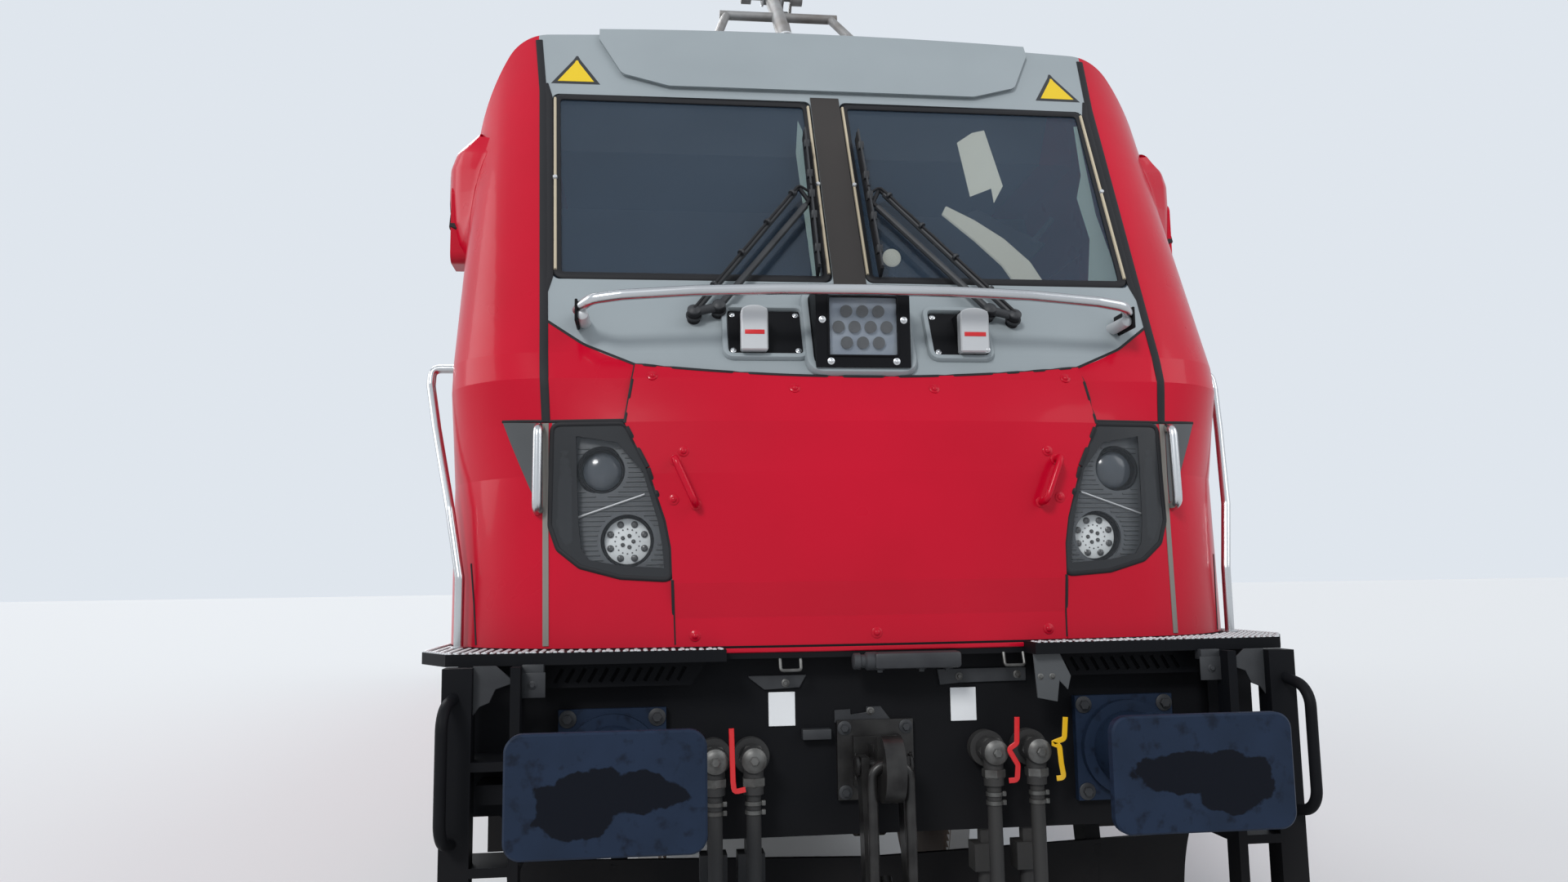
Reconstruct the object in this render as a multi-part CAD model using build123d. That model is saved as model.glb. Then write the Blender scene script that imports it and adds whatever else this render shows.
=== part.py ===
from build123d import *
from math import asin, atan2, cos, degrees, radians, sin, sqrt
import os

os.makedirs("parts", exist_ok=True)

# Electric locomotive with a cab at each end, in millimetres.
# X runs across, Y along with the photographed cab towards -Y, Z up.
# Z is 0 at the tips of the wheel flanges, and Y is 0 midway between the two cabs.
length_over_buffers = 18900
body_half_width = 1488.5
pivot_spacing = 10440
axle_spacing = 2600
flange_height = 30
wheel_diameter = 1250
flange_gap = 1410

# Body shell
wall = 60
deck_top = 1462
deck_thickness = 42
eaves_height = 3360
haunch_radius = 1512
haunch_height = 3970
roof_edge_radius = 200
roof_edge_angle = 88
roof_crown_height = 4120
well_height = 3800
well_start = 2100
hood_back = 1960
cab_back = 2950
machine_roof_half_width = 1180
machine_roof_edge = 60

# Places along an end are depths, measured inward from the buffer faces.
headstock_depth = 600
headstock_thickness = 60
buffer_height = 1090
buffer_spacing = 1750
coupler_height = 1075

half_length = length_over_buffers / 2
machine_room_half = half_length - cab_back
wheel_radius = wheel_diameter / 2
axle_height = wheel_radius + flange_height
deck_bottom = deck_top - deck_thickness
inside_half_width = body_half_width - wall

# Height, depth of the face at the middle, radius of the face and radius of the corner, seen from above
cab_sections = [
    (1462, 499, 6500, 620),
    (2040, 536, 6500, 600),
    (2220, 560, 7000, 500),
    (2380, 636, 39000, 420),
    (2480, 688, 80000, 390),
    (3730, 1364, 80000, 290),
    (4180, 1608, 80000, 270),
]

# Seams of the front, as half-width and height
seam_points = [(1095, 1462), (1108, 2220), (1127, 2580), (1199, 3745), (1236, 4066)]
hatch_points = [(673, 1462), (679, 1681), (683, 1790), (700, 1880), (760, 2060), (839, 2217), (804, 2433)]
bib_middle = (0, 2388)
bib_corner = (804, 2433)
bib_shoulder = (985, 2512)
bib_end = (1127, 2617)
lamp_points = [
    (839, 2217), (760, 2060), (700, 1880), (683, 1790), (679, 1681),
    (851, 1693), (985, 1730), (1060, 1790), (1089, 1870), (1086, 2224),
]

# The hatch stands proud above its crease and falls back below it: height, stand-off from the face
hatch_relief = [(1462, -4), (1555, -4), (1670, 12), (2040, 12), (2220, 12), (2380, 12), (2480, 12)]

# The dome of the hood stands proud of it: half-width and height of its corners, from the lip upwards
dome_points = [(670, 3785), (870, 3850), (972, 4060)]
dome_rise = 22
dome_corner = 50

# Windscreens
pillar_half = 63
pane_top = 3730
pane_bottom = 2790
pane_top_half = 1160
pane_bottom_half = 1110
pane_corner = 30
glass_thickness = 12
glass_inset = 18


def block(x0, x1, y0, y1, z0, z1):
    return Pos((x0 + x1) / 2, (y0 + y1) / 2, (z0 + z1) / 2) * Box(abs(x1 - x0), abs(y1 - y0), abs(z1 - z0))


def rod(start, end, radius):
    start = Vector(*start)
    axis = Vector(*end) - start
    ends = (Align.CENTER, Align.CENTER, Align.MIN)
    return Plane(origin=start, z_dir=axis) * Cylinder(radius, axis.length, align=ends)


def bent_tube(points, radius, bend):
    path = FilletPolyline(*points, radius=bend)
    start = Vector(*points[0])
    axis = Vector(*points[1]) - start
    return sweep(Plane(origin=start, z_dir=axis) * Circle(radius), path=path)


def mirrored(shape):
    return mirror(shape, Plane.YZ)


def outline(points):
    return make_face(Polyline(*points, close=True))


def symmetric(points):
    # Half of an outline as (X, Z), from one point near the middle to the other, becomes the whole loop.
    return outline(points + [(-x, z) for x, z in reversed(points)])


def across(face, x0, x1):
    # A face drawn as (Y, Z) becomes a solid from x0 to x1.
    return Pos(x0, 0, 0) * extrude(Plane.YZ * face, amount=x1 - x0)


def along(face, y0, y1):
    # A face drawn as (X, Z) becomes a solid from y0 to y1.
    return Pos(0, y0, 0) * extrude(Plane.XZ * face, amount=y0 - y1)


def at_front(shape):
    return Pos(0, -half_length, 0) * shape


def at_rear(shape):
    return Rot(0, 0, 180) * at_front(shape)


def both_ends(shapes):
    return [at_front(shape) for shape in shapes] + [at_rear(shape) for shape in shapes]


def both_sides(shapes):
    return shapes + [mirrored(shape) for shape in shapes]


def solids_of(shape):
    if isinstance(shape, (list, tuple)):
        return [one for item in shape for one in solids_of(item)]
    return list(shape.solids())


def write(name, *shapes):
    found = solids_of(shapes)
    export_step(found[0] if len(found) == 1 else Compound(children=found), f"parts/{name}.step")


def fuse(first, *others):
    result = first
    for other in others:
        result = result + other
    return result


# Cab body

def cab_plan(height, face, face_radius, corner_radius, inset):
    half = body_half_width - inset
    front = face + inset
    round_face = face_radius - inset
    corner = corner_radius - inset
    centre = front + round_face
    corner_y = centre - sqrt((round_face - corner) ** 2 - (half - corner) ** 2)
    share = round_face / (round_face - corner)
    join_x = (half - corner) * share
    join_y = centre - (centre - corner_y) * share
    turn = atan2(join_y - corner_y, join_x - half + corner) / 2
    middle = (half - corner + corner * cos(turn), corner_y + corner * sin(turn))
    edges = [
        ThreePointArc((-join_x, join_y), (0, front), (join_x, join_y)),
        ThreePointArc((join_x, join_y), middle, (half, corner_y)),
        Line((half, corner_y), (half, cab_back)),
        Line((half, cab_back), (-half, cab_back)),
        Line((-half, cab_back), (-half, corner_y)),
        ThreePointArc((-half, corner_y), (-middle[0], middle[1]), (-join_x, join_y)),
    ]
    return Plane.XY.offset(height) * make_face(edges)


def body_profile(inset):
    # Cross-section of the body: upright sides, a haunch that leans in, a round roof edge and a crown.
    half = body_half_width - inset
    lean = asin((haunch_height - eaves_height) / haunch_radius)
    haunch = haunch_radius - inset
    edge = roof_edge_radius - inset
    haunch_centre = half - haunch
    haunch_top = (haunch_centre + haunch * cos(lean), eaves_height + haunch * sin(lean))
    haunch_middle = (haunch_centre + haunch * cos(lean / 2), eaves_height + haunch * sin(lean / 2))
    edge_centre = (haunch_top[0] - edge * cos(lean), haunch_top[1] - edge * sin(lean))
    stop = radians(roof_edge_angle)
    halfway = (lean + stop) / 2
    edge_middle = (edge_centre[0] + edge * cos(halfway), edge_centre[1] + edge * sin(halfway))
    edge_top = (edge_centre[0] + edge * cos(stop), edge_centre[1] + edge * sin(stop))
    base = deck_top - inset
    right = [
        Line((half, base), (half, eaves_height)),
        ThreePointArc((half, eaves_height), haunch_middle, haunch_top),
        ThreePointArc(haunch_top, edge_middle, edge_top),
    ]
    left = [mirror(edge_part, Plane.YZ) for edge_part in right]
    crown = ThreePointArc(edge_top, (0, roof_crown_height - inset), (-edge_top[0], edge_top[1]))
    foot = Line((-half, base), (half, base))
    return make_face(right + [crown] + left + [foot])


def cab_form(inset, sections=cab_sections):
    form = loft([cab_plan(*row, inset) for row in sections], ruled=True)
    form = form & along(body_profile(inset), 0, cab_back)
    well = outline([
        (hood_back - inset, roof_crown_height + wall),
        (well_start - inset, well_height - inset),
        (cab_back + wall, well_height - inset),
        (cab_back + wall, roof_crown_height + wall),
    ])
    return form - across(well, -body_half_width - wall, body_half_width + wall)


def section_at(height):
    # Depth and radii of the face between two of the cab's sections
    for low, high in zip(cab_sections, cab_sections[1:]):
        if low[0] <= height <= high[0]:
            share = (height - low[0]) / (high[0] - low[0])
            return [a + (b - a) * share for a, b in zip(low[1:], high[1:])]


def pane_prism():
    pane = outline([
        (pillar_half, pane_bottom),
        (pane_bottom_half, pane_bottom),
        (pane_top_half, pane_top),
        (pillar_half, pane_top),
    ])
    pane = fillet(pane.vertices(), pane_corner)
    return along(pane, 0, cab_back)


cab_outer = cab_form(0)
cab_inner = cab_form(wall)
cab_rear_room = block(
    -inside_half_width, inside_half_width,
    cab_back - 2 * wall, cab_back + wall,
    deck_top - wall, well_height - wall,
)
cab_wall = cab_outer - cab_inner - cab_rear_room

roof_clear = roof_crown_height + 2 * wall
bib_edge = ThreePointArc((-bib_corner[0], bib_corner[1]), bib_middle, bib_corner)
bib_shoulder_edge = ThreePointArc(bib_corner, bib_shoulder, bib_end)
mask_side = [
    bib_shoulder_edge,
    Line(bib_end, seam_points[3]),
    Line(seam_points[3], seam_points[4]),
    Line(seam_points[4], (seam_points[4][0], roof_clear)),
]
mask_top = Line((seam_points[4][0], roof_clear), (-seam_points[4][0], roof_clear))
mask_outline = make_face([bib_edge, mask_top] + mask_side + [mirror(edge, Plane.YZ) for edge in mask_side])
mask_prism = along(mask_outline, 0, cab_back)

hatch_sides = [Line(a, b) for a, b in zip(hatch_points, hatch_points[1:])]
hatch_foot = Line((-hatch_points[0][0], hatch_points[0][1]), hatch_points[0])
hatch_far_sides = [mirror(edge, Plane.YZ) for edge in hatch_sides]
hatch_outline = make_face(hatch_sides + [bib_edge, hatch_foot] + hatch_far_sides)
hatch_prism = along(hatch_outline, 0, 1000)

lamp_prism = along(outline(lamp_points), 0, 1000)
panes = both_sides([pane_prism()])

# Side window of the cab, as depth and height
side_window_points = [(1200, 2530), (1960, 2530), (1960, 3230), (1480, 3230)]
side_window_corner = 60
side_window = outline(side_window_points)
side_window = fillet(side_window.vertices(), side_window_corner)
side_opening = across(side_window, -body_half_width - wall, body_half_width + wall)

# Cab door, hinged on its rear edge just inside the body side
door_front = 2150
door_back = 2800
door_bottom = 1470
door_top = 3300
door_gap = 10
door_window_bottom = 2430
door_window_top = 3160
door_window_margin = 130
door_window_corner = 60
hinge_heights = [1650, 2380, 3110]
hinge_x = inside_half_width - 10
hinge_y = door_back + 4
hinge_radius = 9
hinge_pin_radius = 5
hinge_clearance = 0.3
leaf_knuckle_half = 20
frame_knuckle_gap = 22
frame_knuckle_length = 30
hinge_flap = 50

door_opening = block(
    -body_half_width - wall, body_half_width + wall,
    door_front - door_gap, door_back + door_gap,
    deck_top - wall, door_top + door_gap,
)


def frame_hinges():
    pieces = []
    reach = frame_knuckle_gap + frame_knuckle_length
    for height in hinge_heights:
        for low in (height - reach, height + frame_knuckle_gap):
            high = low + frame_knuckle_length
            pieces.append(rod((hinge_x, hinge_y, low), (hinge_x, hinge_y, high), hinge_radius))
            pieces.append(block(hinge_x, inside_half_width, hinge_y + 1, hinge_y + hinge_flap, low, high))
        pin_ends = (hinge_x, hinge_y, height - reach), (hinge_x, hinge_y, height + reach)
        pieces.append(rod(*pin_ends, hinge_pin_radius))
    return pieces


def leaf_hinges(leaf):
    bore = hinge_pin_radius + hinge_clearance
    for height in hinge_heights:
        low = height - leaf_knuckle_half
        high = height + leaf_knuckle_half
        leaf = leaf + rod((hinge_x, hinge_y, low), (hinge_x, hinge_y, high), hinge_radius)
        leaf = leaf + block(hinge_x, inside_half_width, hinge_y - hinge_flap, hinge_y - 1, low, high)
        leaf = leaf - rod((hinge_x, hinge_y, low - 1), (hinge_x, hinge_y, high + 1), bore)
    return leaf


def hood_dome():
    face = symmetric(dome_points + [(dome_points[-1][0], roof_clear)])
    corners = [corner for corner in face.vertices() if corner.Y < dome_points[-1][1] - 1]
    face = fillet(corners, dome_corner)
    cover = (cab_form(-dome_rise) & along(face, 0, hood_back)) - cab_form(dome_rise)
    return cover


# Side mirror housings, drawn as part of the panel that carries them: depth and height of the box
mirror_box = (1430, 1620, 3010, 3340)
mirror_reach = 1575
mirror_corner = 40


def mirror_housing():
    housing = block(body_half_width, mirror_reach, *mirror_box)
    return fillet(housing.edges().filter_by(Axis.X), mirror_corner)


def nose_hatch():
    rows = []
    for height, stand_off in hatch_relief:
        depth, face_radius, corner_radius = section_at(height)
        rows.append((height, depth - stand_off, face_radius, corner_radius))
    return (cab_form(0, rows) - cab_inner) & hatch_prism


cab_mask = fuse((cab_wall & mask_prism), hood_dome()) - panes[0] - panes[1]
cab_shell = cab_wall - mask_prism - hatch_prism - lamp_prism - mirrored(lamp_prism)
cab_shell = cab_shell - side_opening - door_opening
for shell_piece in both_sides(frame_hinges() + [mirror_housing()]):
    cab_shell = cab_shell + shell_piece

write("cab_shells", both_ends([cab_shell]))
write("cab_masks", both_ends([cab_mask]))
write("nose_hatches", both_ends([nose_hatch()]))


# Glass

windscreen_low = cab_sections[4]
windscreen_high = cab_sections[5]
windscreen_slope = (windscreen_high[1] - windscreen_low[1]) / (windscreen_high[0] - windscreen_low[0])


def windscreen_slab():
    z0 = windscreen_low[0]
    z1 = windscreen_high[0] + wall
    y0 = windscreen_low[1] + glass_inset
    y1 = y0 + windscreen_slope * (z1 - z0)
    face = outline([(y0, z0), (y0 + glass_thickness, z0), (y1 + glass_thickness, z1), (y1, z1)])
    return across(face, -body_half_width, body_half_width)


glass_outside = body_half_width - glass_inset
side_glass = across(side_window, glass_outside - glass_thickness, glass_outside)
glass = [windscreen_slab() & pane for pane in panes] + both_sides([side_glass])
write("cab_windows", both_ends(glass))

# Wipers, as (X, depth, height) on the left pane: the arms' two pivots and elbows, and the blade's ends
wiper_pivots = [(-595, 729, 2639), (-505, 742, 2663)]
wiper_elbows = [(-163, 1048, 3230), (-128, 1010, 3160)]
wiper_blade = [(-121, 834, 2838), (-112, 1210, 3530)]
wiper_arm_radius = 9
wiper_boss_radius = 24
wiper_boss_length = 70
wiper_blade_thickness = 12
wiper_blade_reach = 50


def wiper():
    normal_length = sqrt(1 + windscreen_slope ** 2)
    outward = Vector(0, -1 / normal_length, windscreen_slope / normal_length)
    pieces = [rod(start, end, wiper_arm_radius) for start, end in zip(wiper_pivots, wiper_elbows)]
    pieces.append(rod(wiper_elbows[0], wiper_elbows[1], wiper_arm_radius))
    for pivot in wiper_pivots:
        tip = Vector(*pivot) + outward * wiper_arm_radius
        pieces.append(rod(tip, tip - outward * wiper_boss_length, wiper_boss_radius))
    low, high = Vector(*wiper_blade[0]), Vector(*wiper_blade[1])
    spine = Plane(origin=low, x_dir=outward, z_dir=high - low)
    size = (wiper_blade_reach, wiper_blade_thickness, (high - low).length)
    blade = spine * Box(*size, align=(Align.MAX, Align.CENTER, Align.MIN))
    holder = rod(wiper_elbows[1], (low + high) / 2, wiper_arm_radius)
    whole = fuse(pieces[0], *pieces[1:], Pos(outward * wiper_arm_radius) * blade, holder)
    pane_recess = (cab_outer & panes[1]) - Pos(0, -glass_inset, 0) * cab_outer
    return (whole - cab_outer) + (whole & pane_recess)


# Lamps: X, height and radius of the two round lamps in each cluster
lamp_rounds = [(915, 2055, 78), (829, 1815, 90)]
lamp_depth = 130
lamp_recess = 30
lamp_cover_thickness = 6
lamp_rim_scale = 0.96
lamp_middle = (890, 1945)
lamp_bore_bottom = 700
lamp_lens_front = 664
lamp_lens_gap = 8

headlight_half_width = 170
headlight_span = (2420, 2715)
headlight_front = 612
headlight_window_half = 125
headlight_window = (2460, 2675)
headlight_window_depth = 20
emitter_rows = [(2510, 3), (2567, 4), (2624, 3)]
emitter_pitch = 58
emitter_radius = 22
emitter_height = 10

# Signal lamps as X from and to, with the plate behind them from and to
signal_lamps = [(-430, -340, -473, -207), (365, 465, 275, 475)]
signal_span = (2485, 2635)
signal_plate_span = (2475, 2655)
signal_front = 640
signal_plate_rise = 8


def rim_prism():
    x0, z0 = lamp_middle
    points = [(x0 + (x - x0) * lamp_rim_scale, z0 + (z - z0) * lamp_rim_scale) for x, z in lamp_points]
    return along(outline(points), 0, 1000)


def lamp_unit():
    unit = (cab_outer - cab_form(lamp_depth)) & lamp_prism
    unit = unit - ((cab_outer - cab_form(lamp_recess)) & rim_prism())
    for x, z, radius in lamp_rounds:
        unit = unit - rod((x, 0, z), (x, lamp_bore_bottom, z), radius)
        unit = unit + rod((x, lamp_lens_front, z), (x, lamp_bore_bottom + 1, z), radius - lamp_lens_gap)
    return unit


def lamp_cover():
    return (cab_outer - cab_form(lamp_cover_thickness)) & rim_prism()


def headlight():
    sides = (-headlight_half_width, headlight_half_width)
    box = block(*sides, headlight_front, 900, *headlight_span) - cab_outer
    back = headlight_front + headlight_window_depth
    box = box - block(-headlight_window_half, headlight_window_half, 0, back, *headlight_window)
    for height, count in emitter_rows:
        for index in range(count):
            x = (index - (count - 1) / 2) * emitter_pitch
            box = box + rod((x, back - emitter_height, height), (x, back + 1, height), emitter_radius)
    return box


def signal_lamp(x0, x1, plate_x0, plate_x1):
    lamp = block(x0, x1, signal_front, 900, *signal_span) - cab_outer
    plate = cab_form(-signal_plate_rise) & block(plate_x0, plate_x1, 0, 900, *signal_plate_span)
    return lamp + (plate - cab_outer)


clusters = both_sides([lamp_unit()])
write("headlamps", both_ends(clusters + [headlight()] + [signal_lamp(*row) for row in signal_lamps]))
write("lamp_covers", both_ends(both_sides([lamp_cover()])))
write("wipers", both_ends(both_sides([wiper()])))


# Cab doors

def cab_door():
    leaf = block(inside_half_width, body_half_width, door_front, door_back, door_bottom, door_top)
    hole = block(
        inside_half_width - wall, body_half_width + wall,
        door_front + door_window_margin, door_back - door_window_margin,
        door_window_bottom, door_window_top,
    )
    hole = fillet(hole.edges().filter_by(Axis.X), door_window_corner)
    glass_inside = glass_outside - glass_thickness
    pane = hole & block(glass_inside, glass_outside, door_front, door_back, deck_top, eaves_height)
    return [leaf_hinges(leaf - hole), pane]


right_door = cab_door()
left_door = [mirrored(piece) for piece in right_door]
write("cab_door_front_right", [at_front(piece) for piece in right_door])
write("cab_door_front_left", [at_front(piece) for piece in left_door])
write("cab_door_rear_right", [at_rear(piece) for piece in right_door])
write("cab_door_rear_left", [at_rear(piece) for piece in left_door])


# Inside of the cabs: desk outline as depth and height, and the seats' sizes
desk_points = [
    (1000, 1462), (1000, 2350), (1090, 2420), (1500, 2330), (1530, 2260), (1290, 2200), (1290, 1462),
]
desk_half_width = 1080
console_half_width = 300
console_points = [(1080, 2400), (1080, 2560), (1160, 2590), (1330, 2350)]
seat_places = (-480, 480)
seat_front = 1700
seat_back = 2180
seat_half_width = 240
cushion_span = (1842, 1970)
backrest_height = 560
backrest_thickness = 90
backrest_lean = -8
headrest_size = (280, 70, 170)
backrest_foot = 60
backrest_corner = 60
headrest_lift = 30
headrest_post = 14
cushion_corner = 30
armrest_size = (50, 320, 40)
armrest_height = 2130
armrest_overlap = 10
armrest_stay = (15, 60, 20)
pedestal_radius = 80
pedestal_depth = 1950


def seat(x):
    pedestal = rod((x, pedestal_depth, deck_top), (x, pedestal_depth, cushion_span[0] + 1), pedestal_radius)
    cushion = block(x - seat_half_width, x + seat_half_width, seat_front, seat_back, *cushion_span)
    cushion = fillet(cushion.edges().filter_by(Axis.X), cushion_corner)
    upright = (Align.CENTER, Align.CENTER, Align.MIN)
    back = Box(2 * seat_half_width - 20, backrest_thickness, backrest_height, align=upright)
    back = fillet(back.edges().filter_by(Axis.Y), backrest_corner)
    post = Cylinder(headrest_post, backrest_height + 2 * headrest_lift + 20, align=upright)
    head = Pos(0, 0, backrest_height + headrest_lift) * Box(*headrest_size, align=upright)
    foot = Pos(x, seat_back + 20, cushion_span[0] + backrest_foot)
    pieces = [pedestal, foot * Rot(backrest_lean, 0, 0) * fuse(back, post, head)]
    stay_half, stay_front, stay_back = armrest_stay
    for side in (-1, 1):
        arm_x = x + side * (seat_half_width + armrest_size[0] / 2 - armrest_overlap)
        arm = Pos(arm_x, seat_back - 110, armrest_height) * Box(*armrest_size)
        stay = block(
            arm_x - stay_half, arm_x + stay_half, seat_back - stay_front, seat_back - stay_back,
            cushion_span[0] + 20, armrest_height,
        )
        pieces += [arm, stay]
    return fuse(cushion, *pieces)


def cab_interior():
    desk = across(outline(desk_points), -desk_half_width, desk_half_width)
    console = across(outline(console_points), -console_half_width, console_half_width)
    rear_top = well_height - wall
    rear = block(-inside_half_width, inside_half_width, cab_back - wall, cab_back, deck_top, rear_top)
    return [(desk + console) & cab_inner, rear] + [seat(x) for x in seat_places]


write("cab_interiors", both_ends(cab_interior()))


# Underframe: a flat deck, sills along its sides, and cross members that carry the ends and the bogie pivots

sill_bottom = 1160
sill_inner = 1300
sill_depths = (1300, 1550)
sill_end_rise = 120
headstock_points = [(1150, 830), (1290, 1000), (1290, deck_bottom)]
web_places = (-875, -400, 400, 875)
web_points = [(660, deck_bottom), (1500, deck_bottom), (1500, 1300), (1060, 900), (660, 900)]
web_half_thickness = 15
pivot_beam_bottom = 1345
pivot_beam_half_length = 460
centre_pin_radius = 110
centre_pin_bottom = 640
pin_flange_radius = 190
pin_flange_thickness = 25
pin_overlap = 1


def deck():
    plan = cab_plan(deck_bottom, *cab_sections[0][1:], 0)
    ends = both_ends([extrude(plan, amount=deck_thickness)])
    middle = block(
        -body_half_width, body_half_width, -machine_room_half, machine_room_half, deck_bottom, deck_top
    )
    return fuse(middle, *ends)


def side_sill():
    end, foot = [half_length - depth for depth in sill_depths]
    side = outline([
        (-end, deck_bottom), (-end, sill_bottom + sill_end_rise), (-foot, sill_bottom),
        (foot, sill_bottom), (end, sill_bottom + sill_end_rise), (end, deck_bottom),
    ])
    return across(side, sill_inner, body_half_width)


def headstock():
    plate = along(symmetric(headstock_points), headstock_depth, headstock_depth + headstock_thickness)
    web = outline(web_points)
    webs = [across(web, x - web_half_thickness, x + web_half_thickness) for x in web_places]
    return fuse(plate, *webs)


def pivot_beam(sign):
    y = sign * pivot_spacing / 2
    ends = (y - pivot_beam_half_length, y + pivot_beam_half_length)
    beam = block(-sill_inner, sill_inner, *ends, pivot_beam_bottom, deck_bottom)
    top = (0, y, pivot_beam_bottom + pin_overlap)
    flange = rod((0, y, pivot_beam_bottom - pin_flange_thickness), top, pin_flange_radius)
    pin = rod((0, y, centre_pin_bottom), top, centre_pin_radius)
    return fuse(beam, flange, pin)


write("main_frame", deck())
write("side_sills", both_sides([side_sill()]))
write("cross_members", both_ends([headstock()]), [pivot_beam(sign) for sign in (-1, 1)])


# Body sides and roof of the machine room, in three lengths

section_length = 2 * machine_room_half / 3
side_groove_width = 14
side_groove_depth = 5
skirt_groove_height = 1640
roof_inner_drop = 30

# Louvres in the slope of the roof: along the slope from its middle, per bay
louvre_bays = (-1080, 1080)
louvre_length = 1800
louvre_rows = 7
louvre_pitch = 46
louvre_opening = 26
louvre_depth = 24
louvre_tilt = 30


def side_wall():
    plate = block(
        inside_half_width, body_half_width, -machine_room_half, machine_room_half, deck_top, eaves_height
    )
    face = body_half_width - side_groove_depth
    half = side_groove_width / 2
    for sign in (-1, 1):
        y = sign * section_length / 2
        plate = plate - block(face, body_half_width + 1, y - half, y + half, deck_top, eaves_height)
    seam = block(
        face, body_half_width + 1, -machine_room_half, machine_room_half,
        skirt_groove_height - half, skirt_groove_height + half,
    )
    return plate - seam


def roof_louvres(middle_y):
    # Slots cut into the roof's slope, each tipped so that rain runs off the slat above it
    low = Vector(body_half_width, 0, eaves_height + machine_roof_edge)
    high = Vector(machine_roof_half_width, 0, well_height)
    slope = (high - low).normalized()
    slots = []
    for bay in louvre_bays:
        for row in range(louvre_rows):
            place = (low + high) / 2 + slope * (row - (louvre_rows - 1) / 2) * louvre_pitch
            place = place + Vector(0, middle_y + bay, 0)
            slot_plane = Plane(origin=place, x_dir=(0, 1, 0), z_dir=slope.cross(Vector(0, 1, 0)))
            slot = Box(louvre_length, louvre_opening, 2 * louvre_depth)
            slots.append(slot_plane * Rot(louvre_tilt, 0, 0) * slot)
    return both_sides(slots)


def roof_section(y0, y1):
    half = body_half_width
    top = machine_roof_half_width
    edge = eaves_height + machine_roof_edge
    outer = symmetric([(top, well_height), (half, edge), (half, eaves_height)])
    inner = symmetric([(top - roof_inner_drop, well_height - wall), (half - wall, eaves_height)])
    section = along(outer, y0, y1) - along(inner, y0, y1)
    return section - roof_louvres((y0 + y1) / 2)


write("side_walls", both_sides([side_wall()]))
roof_starts = [-machine_room_half + index * section_length for index in range(3)]
write("roof_sections", [roof_section(y0, y0 + section_length) for y0 in roof_starts])


# Ends: steps and rails. The plan of the step plate is X and depth.

step_plate_points = [
    (510, 400), (1391, 440), (1496, 620), (1496, 1185), (1390, 1185), (1000, 800), (510, 800),
]
step_plate_drop = 4
skirt_points = [(560, deck_bottom), (1130, deck_bottom), (1130, 1340), (620, 1340)]
skirt_depths = (520, 528)
skirt_slots = 12
skirt_slot_pitch = 36
skirt_slot_first = (650, 1378)
skirt_slot_size = (12, 40, 50)
skirt_slot_lean = -30
ladder_post = (1295, 1385, 350, 430)
ladder_inner_post = (1150, 1180, 350, 430)
ladder_bottom = 480
ladder_back = (1180, 1340, 560, 568, 940)
tread_heights = (500, 800, 1110)
tread_thickness = 28
ladder_tread = (1150, 1385, 350, 560)
ladder_hanger = (1150, 1290, 420, headstock_depth, 1000, 1060)
loop_points = [(1345, 400, 1340), (1364, 239, 1305), (1364, 239, 925), (1345, 400, 890)]
loop_radius = 18
loop_bend = 75
door_tread = (1290, 1480, door_front + 20, door_back - 20)
door_side_thickness = 20


def step_plate():
    plate = extrude(outline(step_plate_points), amount=deck_thickness - step_plate_drop)
    plate = Pos(0, 0, deck_bottom) * plate
    plan = cab_plan(deck_bottom - deck_thickness, *cab_sections[0][1:], 0)
    skirt = along(outline(skirt_points), *skirt_depths)
    for index in range(skirt_slots):
        x, z = skirt_slot_first
        slot = Pos(x + index * skirt_slot_pitch, skirt_depths[0], z) * Rot(0, skirt_slot_lean, 0)
        skirt = skirt - slot * Box(*skirt_slot_size)
    return (plate + skirt) - extrude(plan, amount=3 * deck_thickness)


def corner_ladder():
    posts = [block(*post, ladder_bottom, deck_bottom) for post in (ladder_post, ladder_inner_post)]
    treads = [block(*ladder_tread, z, z + tread_thickness) for z in tread_heights]
    back = block(*ladder_back, deck_bottom)
    loop = bent_tube(loop_points, loop_radius, loop_bend)
    return fuse(posts[0], posts[1], *treads, back, block(*ladder_hanger), loop)


def door_steps():
    x0, x1, y0, y1 = door_tread
    treads = [block(x0, x1, y0, y1, z, z + tread_thickness) for z in tread_heights]
    sides = [
        block(x0, x1, y, y + door_side_thickness, ladder_bottom, sill_bottom)
        for y in (y0, y1 - door_side_thickness)
    ]
    return fuse(sides[0], sides[1], *treads)


write("end_steps", both_ends(both_sides([step_plate() + corner_ladder(), door_steps()])))

rail_radius = 17
corner_rail = [
    (1478, 1180, 2509), (1588, 1180, 2509), (1588, 1160, 2440), (1545, 1060, 2260), (1460, 880, 1945),
    (1412, 820, 1700), (1412, 820, deck_top - step_plate_drop),
]
door_rail_depths = (door_front - 70, door_back + 75)
door_rail_reach = 1560
door_rail_span = (1500, 3100)
lamp_rail = [(1130, 680, 1917), (1130, 600, 1930), (1130, 612, 2200), (1130, 700, 2216)]
bib_rail = [(-1010, 830, 2620), (-1000, 600, 2645), (-860, 555, 2720), (-590, 545, 2742), (0, 535, 2755)]
bib_rail_radius = 19


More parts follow.
